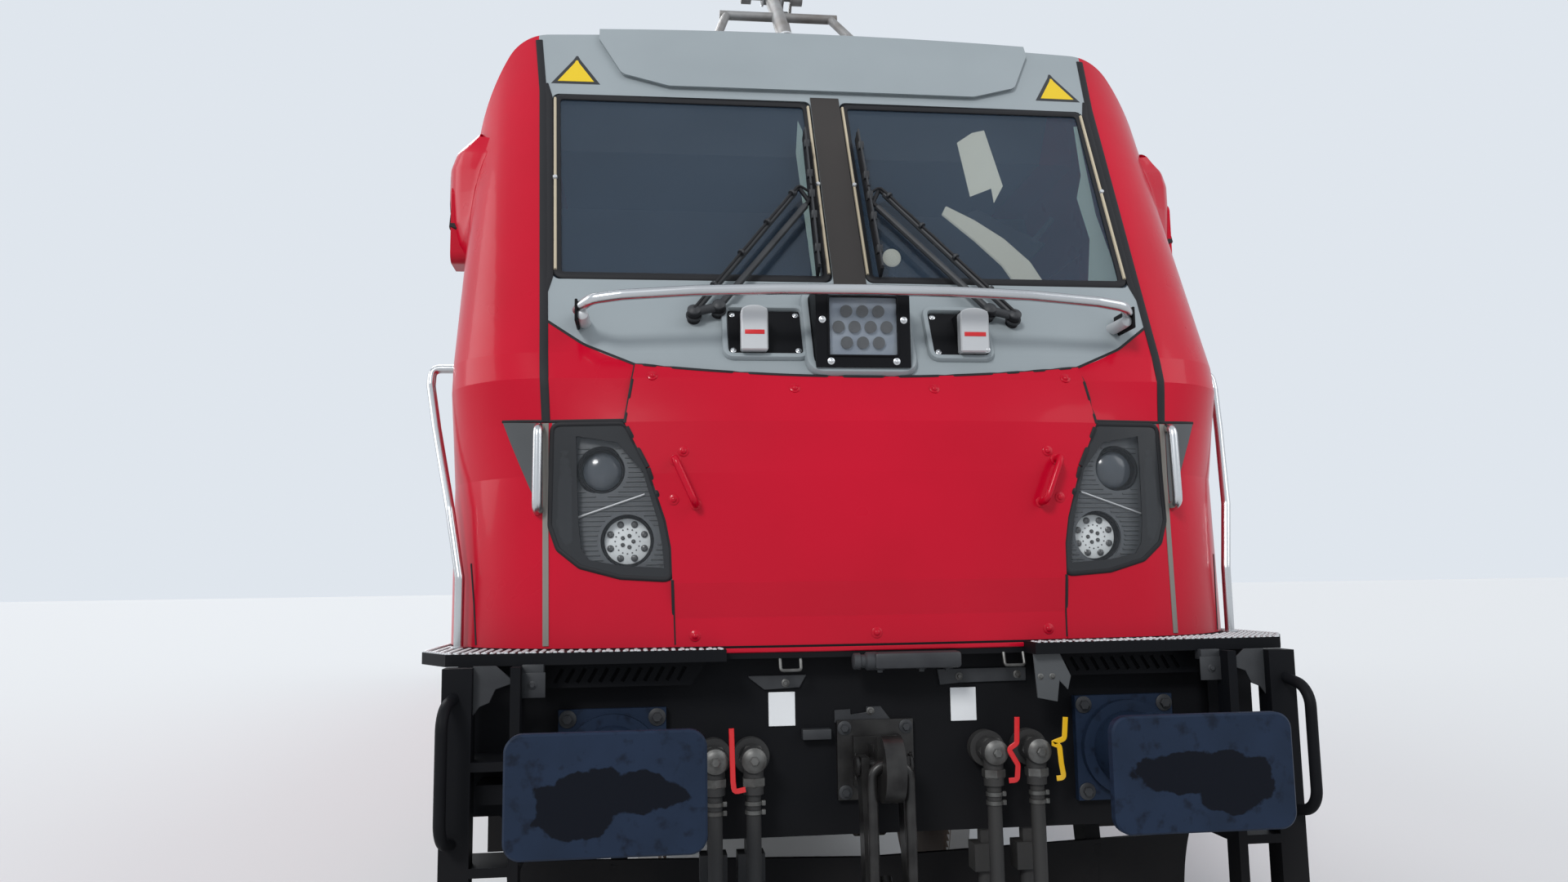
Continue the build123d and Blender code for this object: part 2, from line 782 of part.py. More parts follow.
def end_rails():
    rails = [bent_tube(corner_rail, rail_radius, 40), bent_tube(lamp_rail, rail_radius, 30)]
    low, high = door_rail_span
    for y in door_rail_depths:
        upright = [
            (body_half_width - 9, y, low), (door_rail_reach, y, low),
            (door_rail_reach, y, high), (body_half_width - 9, y, high),
        ]
        rails.append(bent_tube(upright, rail_radius, 50))
    rails = [rail - cab_outer for rail in rails]
    bib = bib_rail + [(-x, y, z) for x, y, z in reversed(bib_rail[:-1])]
    return both_sides(rails) + [bent_tube(bib, bib_rail_radius, 60) - cab_outer]


write("handrails", both_ends(end_rails()))


# Buffers and draw gear

pad_size = (562, 340)
pad_corner = 50
pad_thickness = 35
pad_chamfer = 6

# Depth from and to, and radius, of the parts of a buffer behind its pad
buffer_barrel = [(35, 340, 100), (150, 165, 118), (300, 570, 125), (300, 330, 142), (540, 570, 160)]
flange_half = 175
flange_thickness = 30
hook_half_thickness = 32
hook_nose = (345, 1080)
hook_nose_radius = 105
hook_mouth_radius = 42
hook_plate_half = 130
hook_plate_thickness = 25
hook_collar_half = 80
hook_collar_front = 60
coupling_pin = (450, coupler_height)
coupling_pin_radius = 24
coupling_clearance = 0.3


def buffer():
    x = buffer_spacing / 2
    pad = RectangleRounded(*pad_size, pad_corner)
    pad = Pos(x, 0, buffer_height) * along(pad, 0, pad_thickness)
    pad = chamfer(pad.faces().sort_by(Axis.Y)[0].edges(), pad_chamfer)
    barrel = [
        rod((x, y0, buffer_height), (x, y1, buffer_height), radius) for y0, y1, radius in buffer_barrel
    ]
    flange = block(
        x - flange_half, x + flange_half, headstock_depth - flange_thickness, headstock_depth,
        buffer_height - flange_half, buffer_height + flange_half,
    )
    return fuse(pad, *barrel, flange)


write("buffers", both_ends(both_sides([buffer()])))


def draw_hook():
    z = coupler_height
    half = hook_half_thickness
    nose_y, nose_z = hook_nose
    shank_profile = outline([
        (360, z - 70), (450, z - 55), (headstock_depth, z - 55),
        (headstock_depth, z + 55), (470, z + 60), (400, z + 10),
    ])
    shank = across(shank_profile, -half, half)
    nose = across(Pos(nose_y, nose_z) * Circle(hook_nose_radius), -half, half)
    mouth = across(Pos(nose_y - 5, nose_z + 25) * Circle(hook_mouth_radius), -half - 8, half + 8)
    slot = block(-half - 8, half + 8, nose_y - 20, nose_y + 37, nose_z + 25, nose_z + 160)
    plate_front = headstock_depth - hook_plate_thickness
    plate_heights = (z - hook_plate_half, z + hook_plate_half)
    plate = block(-hook_plate_half, hook_plate_half, plate_front, headstock_depth, *plate_heights)
    collar = block(
        -hook_collar_half, hook_collar_half, headstock_depth - hook_collar_front, plate_front,
        z - hook_collar_half, z + hook_collar_half,
    )
    y, height = coupling_pin
    bore = rod((-60, y, height), (60, y, height), coupling_pin_radius + coupling_clearance)
    return fuse(shank, nose, plate, collar) - mouth - slot - bore


write("draw_hooks", both_ends([draw_hook()]))

# Screw coupling, stowed: depth and height of its two nuts, and of the bail over the hook's mouth
upper_nut = (410, 640)
lower_nut = (330, 540)
nut_radius = 33
nut_half_width = 95
link_x = 66
link_half_thickness = 13
screw_ends = [(470, 715), (262, 455)]
screw_radius = 23
bail_x = 60
bail_y = 338
bail_top = 1090
bail_radius = 17
bail_bend = 40
lever_foot = (370, 590)
lever_lean = 20
lever_length = 170
lever_radius = 13
lever_knob_radius = 34


def screw_coupling():
    y, z = coupling_pin
    pin = rod((-link_x - 20, y, z), (link_x + 20, y, z), coupling_pin_radius)
    link = outline([
        (y - 38, z + 30), (y + 38, z + 30), (y + 38, z - 60),
        (upper_nut[0] + 30, upper_nut[1] - 40), (upper_nut[0] - 42, upper_nut[1] - 40), (y - 38, z - 60),
    ])
    link = across(link, link_x - link_half_thickness, link_x + link_half_thickness)
    nuts = [
        rod((-nut_half_width, *nut), (nut_half_width, *nut), nut_radius) for nut in (upper_nut, lower_nut)
    ]
    screw = rod((0, *screw_ends[0]), (0, *screw_ends[1]), screw_radius)
    bail_points = [
        (-bail_x, *lower_nut), (-bail_x, bail_y, bail_top), (bail_x, bail_y, bail_top), (bail_x, *lower_nut),
    ]
    bail = bent_tube(bail_points, bail_radius, bail_bend)
    lever_tip = (0, lever_foot[0] + lever_lean, lever_foot[1] - lever_length)
    lever = rod((0, *lever_foot), lever_tip, lever_radius)
    knob = Pos(*lever_tip) * Sphere(lever_knob_radius)
    return fuse(pin, link, mirrored(link), *nuts, screw, bail, lever, knob)


write("screw_couplings", both_ends([screw_coupling()]))

# Brake hoses: X of each, and the route of the hose as depth and height
hose_places = (-545, -420, 382, 530)
hose_route = [(500, 1100), (500, 560), (560, 480), (640, 480), (640, 700)]
hose_radius = 24
hose_bend = 40
cock_radius = 42
cock_front = 462
cock_collar = (40, 60)
neck_radius = 33
neck_length = 110
hose_head_half = 45
hose_head = (headstock_depth, headstock_depth + 80, 690, 780)
hose_bracket_half = 20
hose_bracket = (headstock_depth + 10, headstock_depth + 50, 780, headstock_points[0][1])


def brake_hose(x):
    y, z = hose_route[0]
    cock = rod((x, cock_front, z), (x, headstock_depth, z), cock_radius)
    collar_length, collar_radius = cock_collar
    collar = rod((x, headstock_depth - collar_length, z), (x, headstock_depth, z), collar_radius)
    neck = rod((x, y, z), (x, y, z - neck_length), neck_radius)
    hose = bent_tube([(x, *point) for point in hose_route], hose_radius, hose_bend)
    head = block(x - hose_head_half, x + hose_head_half, *hose_head)
    bracket = block(x - hose_bracket_half, x + hose_bracket_half, *hose_bracket)
    return fuse(cock, collar, neck, hose, head, bracket)


write("brake_hoses", both_ends([brake_hose(x) for x in hose_places]))

# Snow plough: the curved blade's section as depth and height, at the middle and, set back, at its tips
plough_bottom = 160
plough_top = 720
plough_hollow = 70
plough_thickness = 22
plough_half_width = 1250
plough_middle = 740
plough_sweep = 170
plough_bracket_x = 860
plough_bracket_half = 28
plough_foot = (900, 1010, 820, 900)
plough_rail = (960, 1000, 830, 890)


def plough_section(x, depth):
    middle_z = (plough_bottom + plough_top) / 2
    back = depth + plough_thickness
    edges = [
        ThreePointArc((depth, plough_bottom), (depth + plough_hollow, middle_z), (depth, plough_top)),
        Line((depth, plough_top), (back, plough_top)),
        ThreePointArc((back, plough_top), (back + plough_hollow, middle_z), (back, plough_bottom)),
        Line((back, plough_bottom), (depth, plough_bottom)),
    ]
    return Plane.YZ.offset(x) * make_face(edges)


def snow_plough():
    tip = plough_section(plough_half_width, plough_middle + plough_sweep)
    wing = loft([plough_section(0, plough_middle), tip], ruled=True)
    share = plough_bracket_x / plough_half_width
    blade_y = plough_middle + plough_sweep * share
    front, back, low, high = plough_foot
    bracket = outline([
        (blade_y + 40, 640), (blade_y + 10, 700), (front, high),
        (back, high), (back, low), (blade_y + 75, 420),
    ])
    bracket = across(bracket, plough_bracket_x - plough_bracket_half, plough_bracket_x + plough_bracket_half)
    half = wing + bracket
    rail = block(-plough_bracket_x, plough_bracket_x, *plough_rail)
    return fuse(half, mirrored(half), rail)


write("snow_ploughs", both_ends([snow_plough()]))

# Transformer: one plain block at its real place and size
transformer_half_width = 1180
transformer_half_length = 1900
transformer_bottom = 330
transformer = block(
    -transformer_half_width, transformer_half_width, -transformer_half_length, transformer_half_length,
    transformer_bottom, deck_bottom,
)
transformer = chamfer(transformer.edges().group_by(Axis.Z)[0], 60)
write("transformer", transformer)


# Roof gear

shed_thickness = 18
shed_radius = 85
roof_line_x = -500
roof_line_height = well_height + 330
roof_line_reach = 2700
roof_insulators = (-2600, -1500, 1500, 2600)
roof_stem_radius = 45
roof_sheds = (60, 120, 180, 240)
line_radius = 18
breaker_base = (-250, 350, -400, 400)
breaker_base_top = well_height + 130
breaker_top = well_height + 420
breaker_x = 50
breaker_spacing = 500
breaker_stem_radius = 60
breaker_sheds = (50, 110, 170, 230)
breaker_bar_radius = 40
cabinet_box = (-900, 900, 800, 1300)
cabinet_height = 180
cabinet_chamfer = 40


def insulator(x, y, base, top, stem_radius, shed_heights):
    stem = rod((x, y, base), (x, y, top), stem_radius)
    sheds = [rod((x, y, base + h), (x, y, base + h + shed_thickness), shed_radius) for h in shed_heights]
    return fuse(stem, *sheds)


def roof_gear():
    posts = [
        insulator(roof_line_x, y, well_height, roof_line_height, roof_stem_radius, roof_sheds)
        for y in roof_insulators
    ]
    line_end = (roof_line_x, roof_line_reach, roof_line_height)
    line = rod((roof_line_x, -roof_line_reach, roof_line_height), line_end, line_radius)
    half = breaker_spacing / 2
    poles = [
        insulator(breaker_x, y, breaker_base_top, breaker_top, breaker_stem_radius, breaker_sheds)
        for y in (-half, half)
    ]
    bar = rod((breaker_x, -half - 20, breaker_top), (breaker_x, half + 20, breaker_top), breaker_bar_radius)
    breaker = fuse(block(*breaker_base, well_height, breaker_base_top), *poles, bar)
    cabinet = block(*cabinet_box, well_height, well_height + cabinet_height)
    cabinet = chamfer(cabinet.edges().group_by(Axis.Z)[-1], cabinet_chamfer)
    return [fuse(line, *posts), breaker, cabinet]


write("roof_gear", roof_gear())


# Pantographs. Side-view points are (along, up) from the base shaft, at the folded or raised angles.

panto_shaft_depth = 2250
panto_shaft_height = 4300
lower_arm_length = 1450
upper_arm_length = 1620
lower_angle_folded = 3.0
lower_angle_raised = 42.0
upper_angle_folded = 9.4
upper_angle_raised = 40.7
lever_length_panto = 120
lever_angle = -5.0
rod_pivot_along = 240
rod_pivot_up = -100
rod_length = 1343.2
rod_angle_folded = 6.2934
rod_ratio = 1.0479
rod_side = 95

base_top = panto_shaft_height - 130
base_bar = 60
base_bar_half_width = 40
base_rail_x = 520
base_length = 1500
base_overhang = 60
base_cross_depths = (-60, 700, 1420)
base_cross_half = 560
base_cross_width = 80
base_insulator_depths = (0, 1440)
base_stem_radius = 50
base_sheds = (70, 130, 190, 250)
bearing_plate_half = (15, 50)
bearing_plate_rise = 60
rod_ear_half = 45
rod_ear_thickness = 15
rod_ears = (rod_side - 40, rod_side + 25)
rod_pin_radius = 12
rod_pin_clearance = 0.3
shaft_radius = 35
shaft_clearance = 0.3
brace_foot = 470
brace_head = 307
brace_overhang = 38
brace_share = 0.68
knee_radius = 45
main_tube_radius = 42
hub_radius = 62
brace_radius = 24
brace_bar_radius = 27
knee_pin_radius = 20
arm_knee_span = (128, 190)
arm_knee_x = 150
arm_head_x = 420
arm_radius = 24
arm_brace_share = 0.45
arm_brace_radius = 15
cheek_thickness = 14
cheek_places = (rod_side - 33, rod_side + 19)
cheek_radii = (42, 26)
cheek_width = 50
eye_pin_radius = 8
head_bar_radius = 22
head_bar_half = 512
rod_tube_radius = 14
rod_hub = (18, 24)
rod_eye = (13, 34)
rod_eye_bore = 20.5
strip_depth = 190
strip_half_thickness = 18
strip_half_width = 530
strip_bottom = 95
strip_top = 130
horn_points = [(530, 112), (760, 95), (950, -60)]
horn_radius = 14
horn_bend = 200
head_side_x = 430
head_side_height = 90
head_side_radius = 16
head_hub = (460, 36)
head_post_x = 485
head_arm = (420, 495, 14)


def panto_pose(raised):
    lower = lower_angle_raised if raised else lower_angle_folded
    upper = upper_angle_raised if raised else upper_angle_folded
    knee = (lower_arm_length * cos(radians(lower)), lower_arm_length * sin(radians(lower)))
    head_reach = upper_arm_length * cos(radians(upper))
    head_rise = upper_arm_length * sin(radians(upper))
    head = (knee[0] - head_reach, knee[1] + head_rise)
    lever_turn = radians(lever_angle - upper)
    lever = (knee[0] + lever_length_panto * cos(lever_turn), knee[1] + lever_length_panto * sin(lever_turn))
    rod_turn = rod_angle_folded + rod_ratio * (lower - lower_angle_folded)
    return knee, head, lever, rod_turn


def side_point(x, point):
    return (x, panto_shaft_depth + point[0], panto_shaft_height + point[1])


def cross_rod(x0, x1, point, radius):
    return rod(side_point(x0, point), side_point(x1, point), radius)


def panto_base():
    frame = []
    start = panto_shaft_depth - base_overhang
    for x in (-base_rail_x, base_rail_x):
        bar = (x - base_bar_half_width, x + base_bar_half_width)
        frame.append(block(*bar, start, start + base_length + base_overhang, base_top - base_bar, base_top))
    for depth in base_cross_depths:
        y = panto_shaft_depth + depth
        ends = (y, y + base_cross_width)
        frame.append(block(-base_cross_half, base_cross_half, *ends, base_top - base_bar, base_top))
    for x in (-base_rail_x, base_rail_x):
        for depth in base_insulator_depths:
            y = panto_shaft_depth + depth
            frame.append(insulator(x, y, well_height, base_top - base_bar, base_stem_radius, base_sheds))
        y = panto_shaft_depth
        half_x, half_y = bearing_plate_half
        top = panto_shaft_height + bearing_plate_rise
        frame.append(block(x - half_x, x + half_x, y - half_y, y + half_y, base_top, top))
    pivot = (rod_pivot_along, rod_pivot_up)
    y = panto_shaft_depth + rod_pivot_along
    top = panto_shaft_height + rod_pivot_up + 30
    for x in rod_ears:
        ear = block(x, x + rod_ear_thickness, y - rod_ear_half, y + rod_ear_half, base_top - base_bar, top)
        frame.append(ear)
    y = panto_shaft_depth
    frame.append(block(rod_side - 40, rod_side + 40, y, y + 760, base_top - base_bar, base_top))
    base = fuse(frame[0], *frame[1:])
    base = base - cross_rod(-600, 600, (0, 0), shaft_radius + shaft_clearance)
    return base - cross_rod(rod_side - 60, rod_side + 60, pivot, rod_pin_radius + rod_pin_clearance)


def lower_arm(raised):
    knee = panto_pose(raised)[0]
    shaft = cross_rod(-545, 545, (0, 0), shaft_radius)
    main = rod(side_point(0, (0, 0)), side_point(0, knee), main_tube_radius)
    knee_tube = cross_rod(-50, 50, knee, knee_radius)
    fork = (knee[0] * brace_share, knee[1] * brace_share)
    brace = rod(side_point(brace_foot, (0, 0)), side_point(brace_head, fork), brace_radius)
    bar = cross_rod(-brace_head - brace_overhang, brace_head + brace_overhang, fork, brace_bar_radius)
    hub = cross_rod(-80, 80, (0, 0), hub_radius)
    arm = fuse(shaft, hub, main, knee_tube, bar, brace, mirrored(brace))
    return arm - cross_rod(-200, 200, knee, knee_pin_radius + shaft_clearance)


def upper_arm(raised):
    knee, head, lever, rod_turn = panto_pose(raised)
    arm = cross_rod(*arm_knee_span, knee, knee_radius)
    arm = arm + rod(side_point(arm_knee_x, knee), side_point(arm_head_x, head), arm_radius)
    pin = cross_rod(-arm_knee_span[1], arm_knee_span[1], knee, knee_pin_radius)
    bar = cross_rod(-head_bar_half, head_bar_half, head, head_bar_radius)
    brace_point = [a + (b - a) * arm_brace_share for a, b in zip(knee, head)]
    brace_x = arm_knee_x + (arm_head_x - arm_knee_x) * arm_brace_share
    brace = cross_rod(-brace_x, brace_x, brace_point, arm_brace_radius)
    direction = degrees(atan2(lever[1] - knee[1], lever[0] - knee[0]))
    cheeks = []
    size = (cheek_thickness, lever_length_panto, cheek_width)
    for x in cheek_places:
        ring = cross_rod(x, x + cheek_thickness, knee, cheek_radii[0])
        tip = cross_rod(x, x + cheek_thickness, lever, cheek_radii[1])
        plate = Rot(direction, 0, 0) * Box(*size, align=(Align.MIN, Align.MIN, Align.CENTER))
        cheeks.append(fuse(ring, tip, Pos(*side_point(x, knee)) * plate))
    lever_pin = cross_rod(cheek_places[0], cheek_places[1] + cheek_thickness, lever, eye_pin_radius)
    return fuse(pin, bar, arm, mirrored(arm), brace, lever_pin, *cheeks)


def control_rod(raised):
    rod_turn = panto_pose(raised)[3]
    base = (rod_pivot_along, rod_pivot_up)
    end = (base[0] + rod_length * cos(radians(rod_turn)), base[1] + rod_length * sin(radians(rod_turn)))
    pin = cross_rod(rod_ears[0], rod_ears[1] + rod_ear_thickness, base, rod_pin_radius)
    hub = cross_rod(rod_side - rod_hub[0], rod_side + rod_hub[0], base, rod_hub[1])
    tube = rod(side_point(rod_side, base), side_point(rod_side, end), rod_tube_radius)
    eye = cross_rod(rod_side - rod_eye[0], rod_side + rod_eye[0], end, rod_eye[1])
    # The eye is wider than its pin, because fixed ratios only come near the real closed linkage.
    return fuse(tube, pin, hub, eye) - cross_rod(rod_side - 20, rod_side + 20, end, rod_eye_bore)


def head_frame(raised):
    head = panto_pose(raised)[1]
    strips = []
    for y in (-strip_depth, strip_depth):
        across_strip = (y - strip_half_thickness, y + strip_half_thickness)
        strip = block(-strip_half_width, strip_half_width, *across_strip, strip_bottom, strip_top)
        horn = bent_tube([(x, y, z) for x, z in horn_points], horn_radius, horn_bend)
        strips.append(fuse(strip, horn, mirrored(horn)))
    z = head_side_height
    arm_start, arm_end, arm_size = head_arm
    side = fuse(
        rod((head_side_x, -strip_depth, z), (head_side_x, strip_depth, z), head_side_radius),
        rod((head_hub[0], 0, 0), (head_bar_half - 2, 0, 0), head_hub[1]),
        rod((head_post_x, 0, 0), (head_post_x, 0, strip_bottom), head_side_radius),
        rod((arm_start, 0, z), (arm_end, 0, z), arm_size),
    )
    whole = fuse(strips[0], strips[1], side, mirrored(side))
    whole = whole - rod((-520, 0, 0), (520, 0, 0), head_bar_radius + shaft_clearance)
    return Pos(*side_point(0, head)) * whole


for place, end_name, raised in ((at_front, "front", True), (at_rear, "rear", False)):
    write(f"pantograph_base_{end_name}", place(panto_base()))
    write(f"pantograph_lower_arm_{end_name}", place(lower_arm(raised)))
    write(f"pantograph_upper_arm_{end_name}", place(upper_arm(raised)))
    write(f"pantograph_control_rod_{end_name}", place(control_rod(raised)))
    write(f"pantograph_head_{end_name}", place(head_frame(raised)))


# Bogies, drawn about their centre pin

side_beam = (990, 1120)
beam_points = [
    (-1760, 870), (-1760, 985), (-1010, 985), (-780, 900), (780, 900), (1010, 985), (1760, 985), (1760, 870),
    (975, 870), (780, 700), (620, 640), (-620, 640), (-780, 700), (-975, 870),
]
centre_pin_clearance = 0.4
bearing_clearance = 0.4
journal_radius = 75
journal_reach = 1170
axle_radius = 90
axle_box = (900, 1180)
axle_box_radius = 150
axle_box_cap = (1180, 1205, 95)
spring_seat_top = 600
spring_seat = (960, 1150)
spring_seat_half_length = 320
spring_seat_thickness = 45
spring_plate_half = 105
spring_plate_drop = 30
link_span = (1020, 1090, 545, 598)
link_reach = (300, 660)
link_post = (1000, 1110, 545, 660)
link_post_reach = (640, 740)
stop_half_length = 50
stop_gap = 40
beam_places = (-300, 300)
beam_half_length = 60
beam_heights = (560, 800)
pivot_box = (240, 300, 640, 800)
primary_spring_offset = 240
primary_spring_radius = 70
secondary_spring_offset = 330
secondary_spring_radius = 95
secondary_spring_top = 1340
beam_bottom = 870
beam_top = 900
spring_x = 1055
coil_pitch = 54


def bogie_frame():
    half_axles = axle_spacing / 2
    side = across(outline(beam_points), *side_beam)
    for y in (-secondary_spring_offset, secondary_spring_offset):
        x0, x1 = spring_x - spring_plate_half, spring_x + spring_plate_half
        y0, y1 = y - spring_plate_half, y + spring_plate_half
        side = side + block(x0, x1, y0, y1, beam_top - spring_plate_drop, beam_top)
    for sign in (-1, 1):
        y = sign * half_axles
        side = side + rod((axle_box[0], y, axle_height), (axle_box[1], y, axle_height), axle_box_radius)
        y0, y1 = y - spring_seat_half_length, y + spring_seat_half_length
        side = side + block(*spring_seat, y0, y1, spring_seat_top - spring_seat_thickness, spring_seat_top)
        x0, x1, z0, z1 = link_span
        side = side + block(x0, x1, y - sign * link_reach[0], sign * link_reach[1], z0, z1)
        stop_ends = (y - stop_half_length, y + stop_half_length)
        side = side + block(x0, x1, *stop_ends, axle_height + 100, beam_bottom - stop_gap)
        x0, x1, z0, z1 = link_post
        side = side + block(x0, x1, sign * link_post_reach[0], sign * link_post_reach[1], z0, z1)
    frame = side + mirrored(side)
    for y in beam_places:
        beam_ends = (y - beam_half_length, y + beam_half_length)
        frame = frame + block(-side_beam[0], side_beam[0], *beam_ends, *beam_heights)
    half_x, half_y, z0, z1 = pivot_box
    frame = frame + block(-half_x, half_x, -half_y, half_y, z0, z1)
    frame = frame - rod((0, 0, 400), (0, 0, 900), centre_pin_radius + centre_pin_clearance)
    bearing_radius = journal_radius + bearing_clearance
    for y in (-half_axles, half_axles):
        frame = frame - rod((-1300, y, axle_height), (1300, y, axle_height), bearing_radius)
    for sign in (-1, 1):
        for y in (-half_axles, half_axles):
            cap_near, cap_far, cap_radius = axle_box_cap
            cap = rod((sign * cap_near, y, axle_height), (sign * cap_far, y, axle_height), cap_radius)
            frame = frame + cap
    return frame


def coil_spring(y, bottom, top, radius):
    # A revolved stack of rounds stands for the coil, whose wire is drawn elsewhere.
    core = radius - 18
    count = round((top - bottom) / coil_pitch)
    pitch = (top - bottom) / count
    points = [(0, bottom), (core, bottom)]
    for index in range(count):
        z = bottom + index * pitch
        points += [(radius, z + pitch * 0.25), (radius, z + pitch * 0.6), (core, z + pitch * 0.85)]
    points += [(core, top), (0, top)]
    spring = revolve(Plane.XZ * outline(points), Axis.Z)
    return Pos(spring_x, y, 0) * spring


def bogie_springs():
    springs = []
    for y in (-secondary_spring_offset, secondary_spring_offset):
        springs.append(coil_spring(y, beam_top, secondary_spring_top, secondary_spring_radius))
    for axle in (-axle_spacing / 2, axle_spacing / 2):
        for offset in (-primary_spring_offset, primary_spring_offset):
            springs.append(coil_spring(axle + offset, spring_seat_top, beam_bottom, primary_spring_radius))
    return both_sides(springs)


motor_offset = 590
motor_height = 690
motor_radius = 240
motor_span = (-360, 330)
case_span = (330, 480)
gear_wheel_radius = 330
pinion_radius = 200
bridge_span = (-180, 190)
nose_half_width = 250
nose_half_height = 60
nose_reach = 360
axle_bore_clearance = 8


def drive_units():
    units = []
    half_axles = axle_spacing / 2
    x0, x1 = case_span
    for sign in (-1, 1):
        y = sign * (half_axles - motor_offset)
        wheel_y = sign * half_axles
        motor = rod((motor_span[0], y, motor_height), (motor_span[1], y, motor_height), motor_radius)
        case = rod((x0, y, motor_height), (x1, y, motor_height), pinion_radius)
        wheel_end = rod((x0, wheel_y, axle_height), (x1, wheel_y, axle_height), gear_wheel_radius)
        bridge = block(x0, x1, y, wheel_y, motor_height + bridge_span[0], motor_height + bridge_span[1])
        nose = block(
            -nose_half_width, nose_half_width, sign * nose_reach, y,
            motor_height - nose_half_height, motor_height + nose_half_height,
        )
        case_bore_radius = axle_radius + axle_bore_clearance
        bore = rod((x0 - 30, wheel_y, axle_height), (x1 + 20, wheel_y, axle_height), case_bore_radius)
        units.append(fuse(motor, case, wheel_end, bridge, nose) - bore)
    return units


# Wheel profile as distance out from the inner face and radius
wheel_width = 135
inner_face = flange_gap / 2 - 32
wheel_points = [
    (0, 60), (0, wheel_radius + 22), (10, wheel_radius + flange_height), (24, wheel_radius + flange_height),
    (38, wheel_radius), (wheel_width, wheel_radius - 6), (wheel_width, wheel_radius - 75),
    (85, wheel_radius - 90), (60, 260), (wheel_width, 200), (wheel_width, 60),
]


def wheelset():
    profile = outline([(inner_face + across_wheel, radius) for across_wheel, radius in wheel_points])
    wheel = revolve(Plane.XY * profile, Axis.X)
    axle = rod((-inner_face - 5, 0, 0), (inner_face + 5, 0, 0), axle_radius)
    journals = rod((-journal_reach, 0, 0), (journal_reach, 0, 0), journal_radius)
    return Pos(0, 0, axle_height) * fuse(axle, journals, wheel, mirrored(wheel))


for end_name, sign in (("front", -1), ("rear", 1)):
    centre = Pos(0, sign * pivot_spacing / 2, 0)
    write(f"bogie_frame_{end_name}", centre * bogie_frame())
    write(f"springs_{end_name}", [centre * spring for spring in bogie_springs()])
    write(f"drive_units_{end_name}", [centre * unit for unit in drive_units()])
    for axle_name, side in (("outer", sign), ("inner", -sign)):
        axle_place = centre * Pos(0, side * axle_spacing / 2, 0)
        write(f"wheelset_{end_name}_{axle_name}", axle_place * wheelset())
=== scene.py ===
import bpy
import bmesh
from math import cos, hypot, pi, radians, sin, tan
from mathutils import Matrix, Vector
from mathutils.bvhtree import BVHTree


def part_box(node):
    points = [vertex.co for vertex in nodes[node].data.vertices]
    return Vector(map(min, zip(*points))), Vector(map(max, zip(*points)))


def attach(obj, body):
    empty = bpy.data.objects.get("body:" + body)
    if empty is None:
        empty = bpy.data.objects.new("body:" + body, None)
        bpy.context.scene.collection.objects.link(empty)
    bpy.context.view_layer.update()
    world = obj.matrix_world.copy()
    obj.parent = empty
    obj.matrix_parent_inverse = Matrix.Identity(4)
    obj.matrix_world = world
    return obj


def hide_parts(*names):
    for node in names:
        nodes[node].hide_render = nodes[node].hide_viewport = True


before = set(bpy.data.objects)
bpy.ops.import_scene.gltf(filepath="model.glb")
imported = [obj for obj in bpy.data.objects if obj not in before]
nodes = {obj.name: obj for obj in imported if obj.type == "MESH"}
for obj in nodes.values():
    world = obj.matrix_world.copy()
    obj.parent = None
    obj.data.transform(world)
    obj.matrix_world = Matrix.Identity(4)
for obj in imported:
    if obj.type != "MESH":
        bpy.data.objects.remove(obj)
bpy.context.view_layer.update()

halfLength = -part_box("buffers")[0][1]  # the buffer faces, from the middle of the locomotive
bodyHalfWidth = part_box("side_walls")[1][0]
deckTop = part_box("side_walls")[0][2]
print("stage: frame loaded, half length", round(halfLength, 3))


# Camera, solved from the photograph and given in the end's own frame
cameraLook = {
    "x": -0.759, "depth": -3.282, "height": 1.664,
    "yaw": 6.87, "pitch": 7.15, "roll": -0.87,
    "focal": 1392.0, "photoWidth": 1920,
}


def addCamera(look):
    data = bpy.data.cameras.new("photoCamera")
    data.sensor_width = 36
    data.lens = look["focal"] / look["photoWidth"] * data.sensor_width
    data.clip_end = 400
    camera = bpy.data.objects.new("photoCamera", data)
    bpy.context.collection.objects.link(camera)
    yaw, pitch, roll = radians(look["yaw"]), radians(look["pitch"]), radians(look["roll"])
    ahead = Vector((sin(yaw) * cos(pitch), cos(yaw) * cos(pitch), sin(pitch)))
    right = Vector((cos(yaw), -sin(yaw), 0))
    up = right.cross(ahead)
    tiltedRight = cos(roll) * right + sin(roll) * up
    tiltedUp = -sin(roll) * right + cos(roll) * up
    place = Matrix((tiltedRight, tiltedUp, -ahead)).transposed().to_4x4()
    place.translation = Vector((look["x"], look["depth"] - halfLength, look["height"]))
    camera.matrix_world = place
    bpy.context.scene.camera = camera


addCamera(cameraLook)
print("stage: camera")


# Materials

def newMaterial(name):
    material = bpy.data.materials.new(name)
    material.use_nodes = True
    tree = material.node_tree
    tree.nodes.clear()
    output = tree.nodes.new("ShaderNodeOutputMaterial")
    shader = tree.nodes.new("ShaderNodeBsdfPrincipled")
    tree.links.new(shader.outputs[0], output.inputs[0])
    return material, tree, shader


def noiseNode(tree, scale, detail, source, stretch=None):
    noise = tree.nodes.new("ShaderNodeTexNoise")
    noise.inputs["Scale"].default_value = scale
    noise.inputs["Detail"].default_value = detail
    if stretch:
        mapping = tree.nodes.new("ShaderNodeMapping")
        mapping.inputs["Scale"].default_value = stretch
        tree.links.new(source, mapping.inputs[0])
        source = mapping.outputs[0]
    tree.links.new(source, noise.inputs["Vector"])
    return noise


def rampNode(tree, source, low, high):
    # Black up to low, white from high
    ramp = tree.nodes.new("ShaderNodeValToRGB")
    first, second = ramp.color_ramp.elements
    first.position, second.position = low, high
    tree.links.new(source, ramp.inputs[0])
    return ramp.outputs[0]


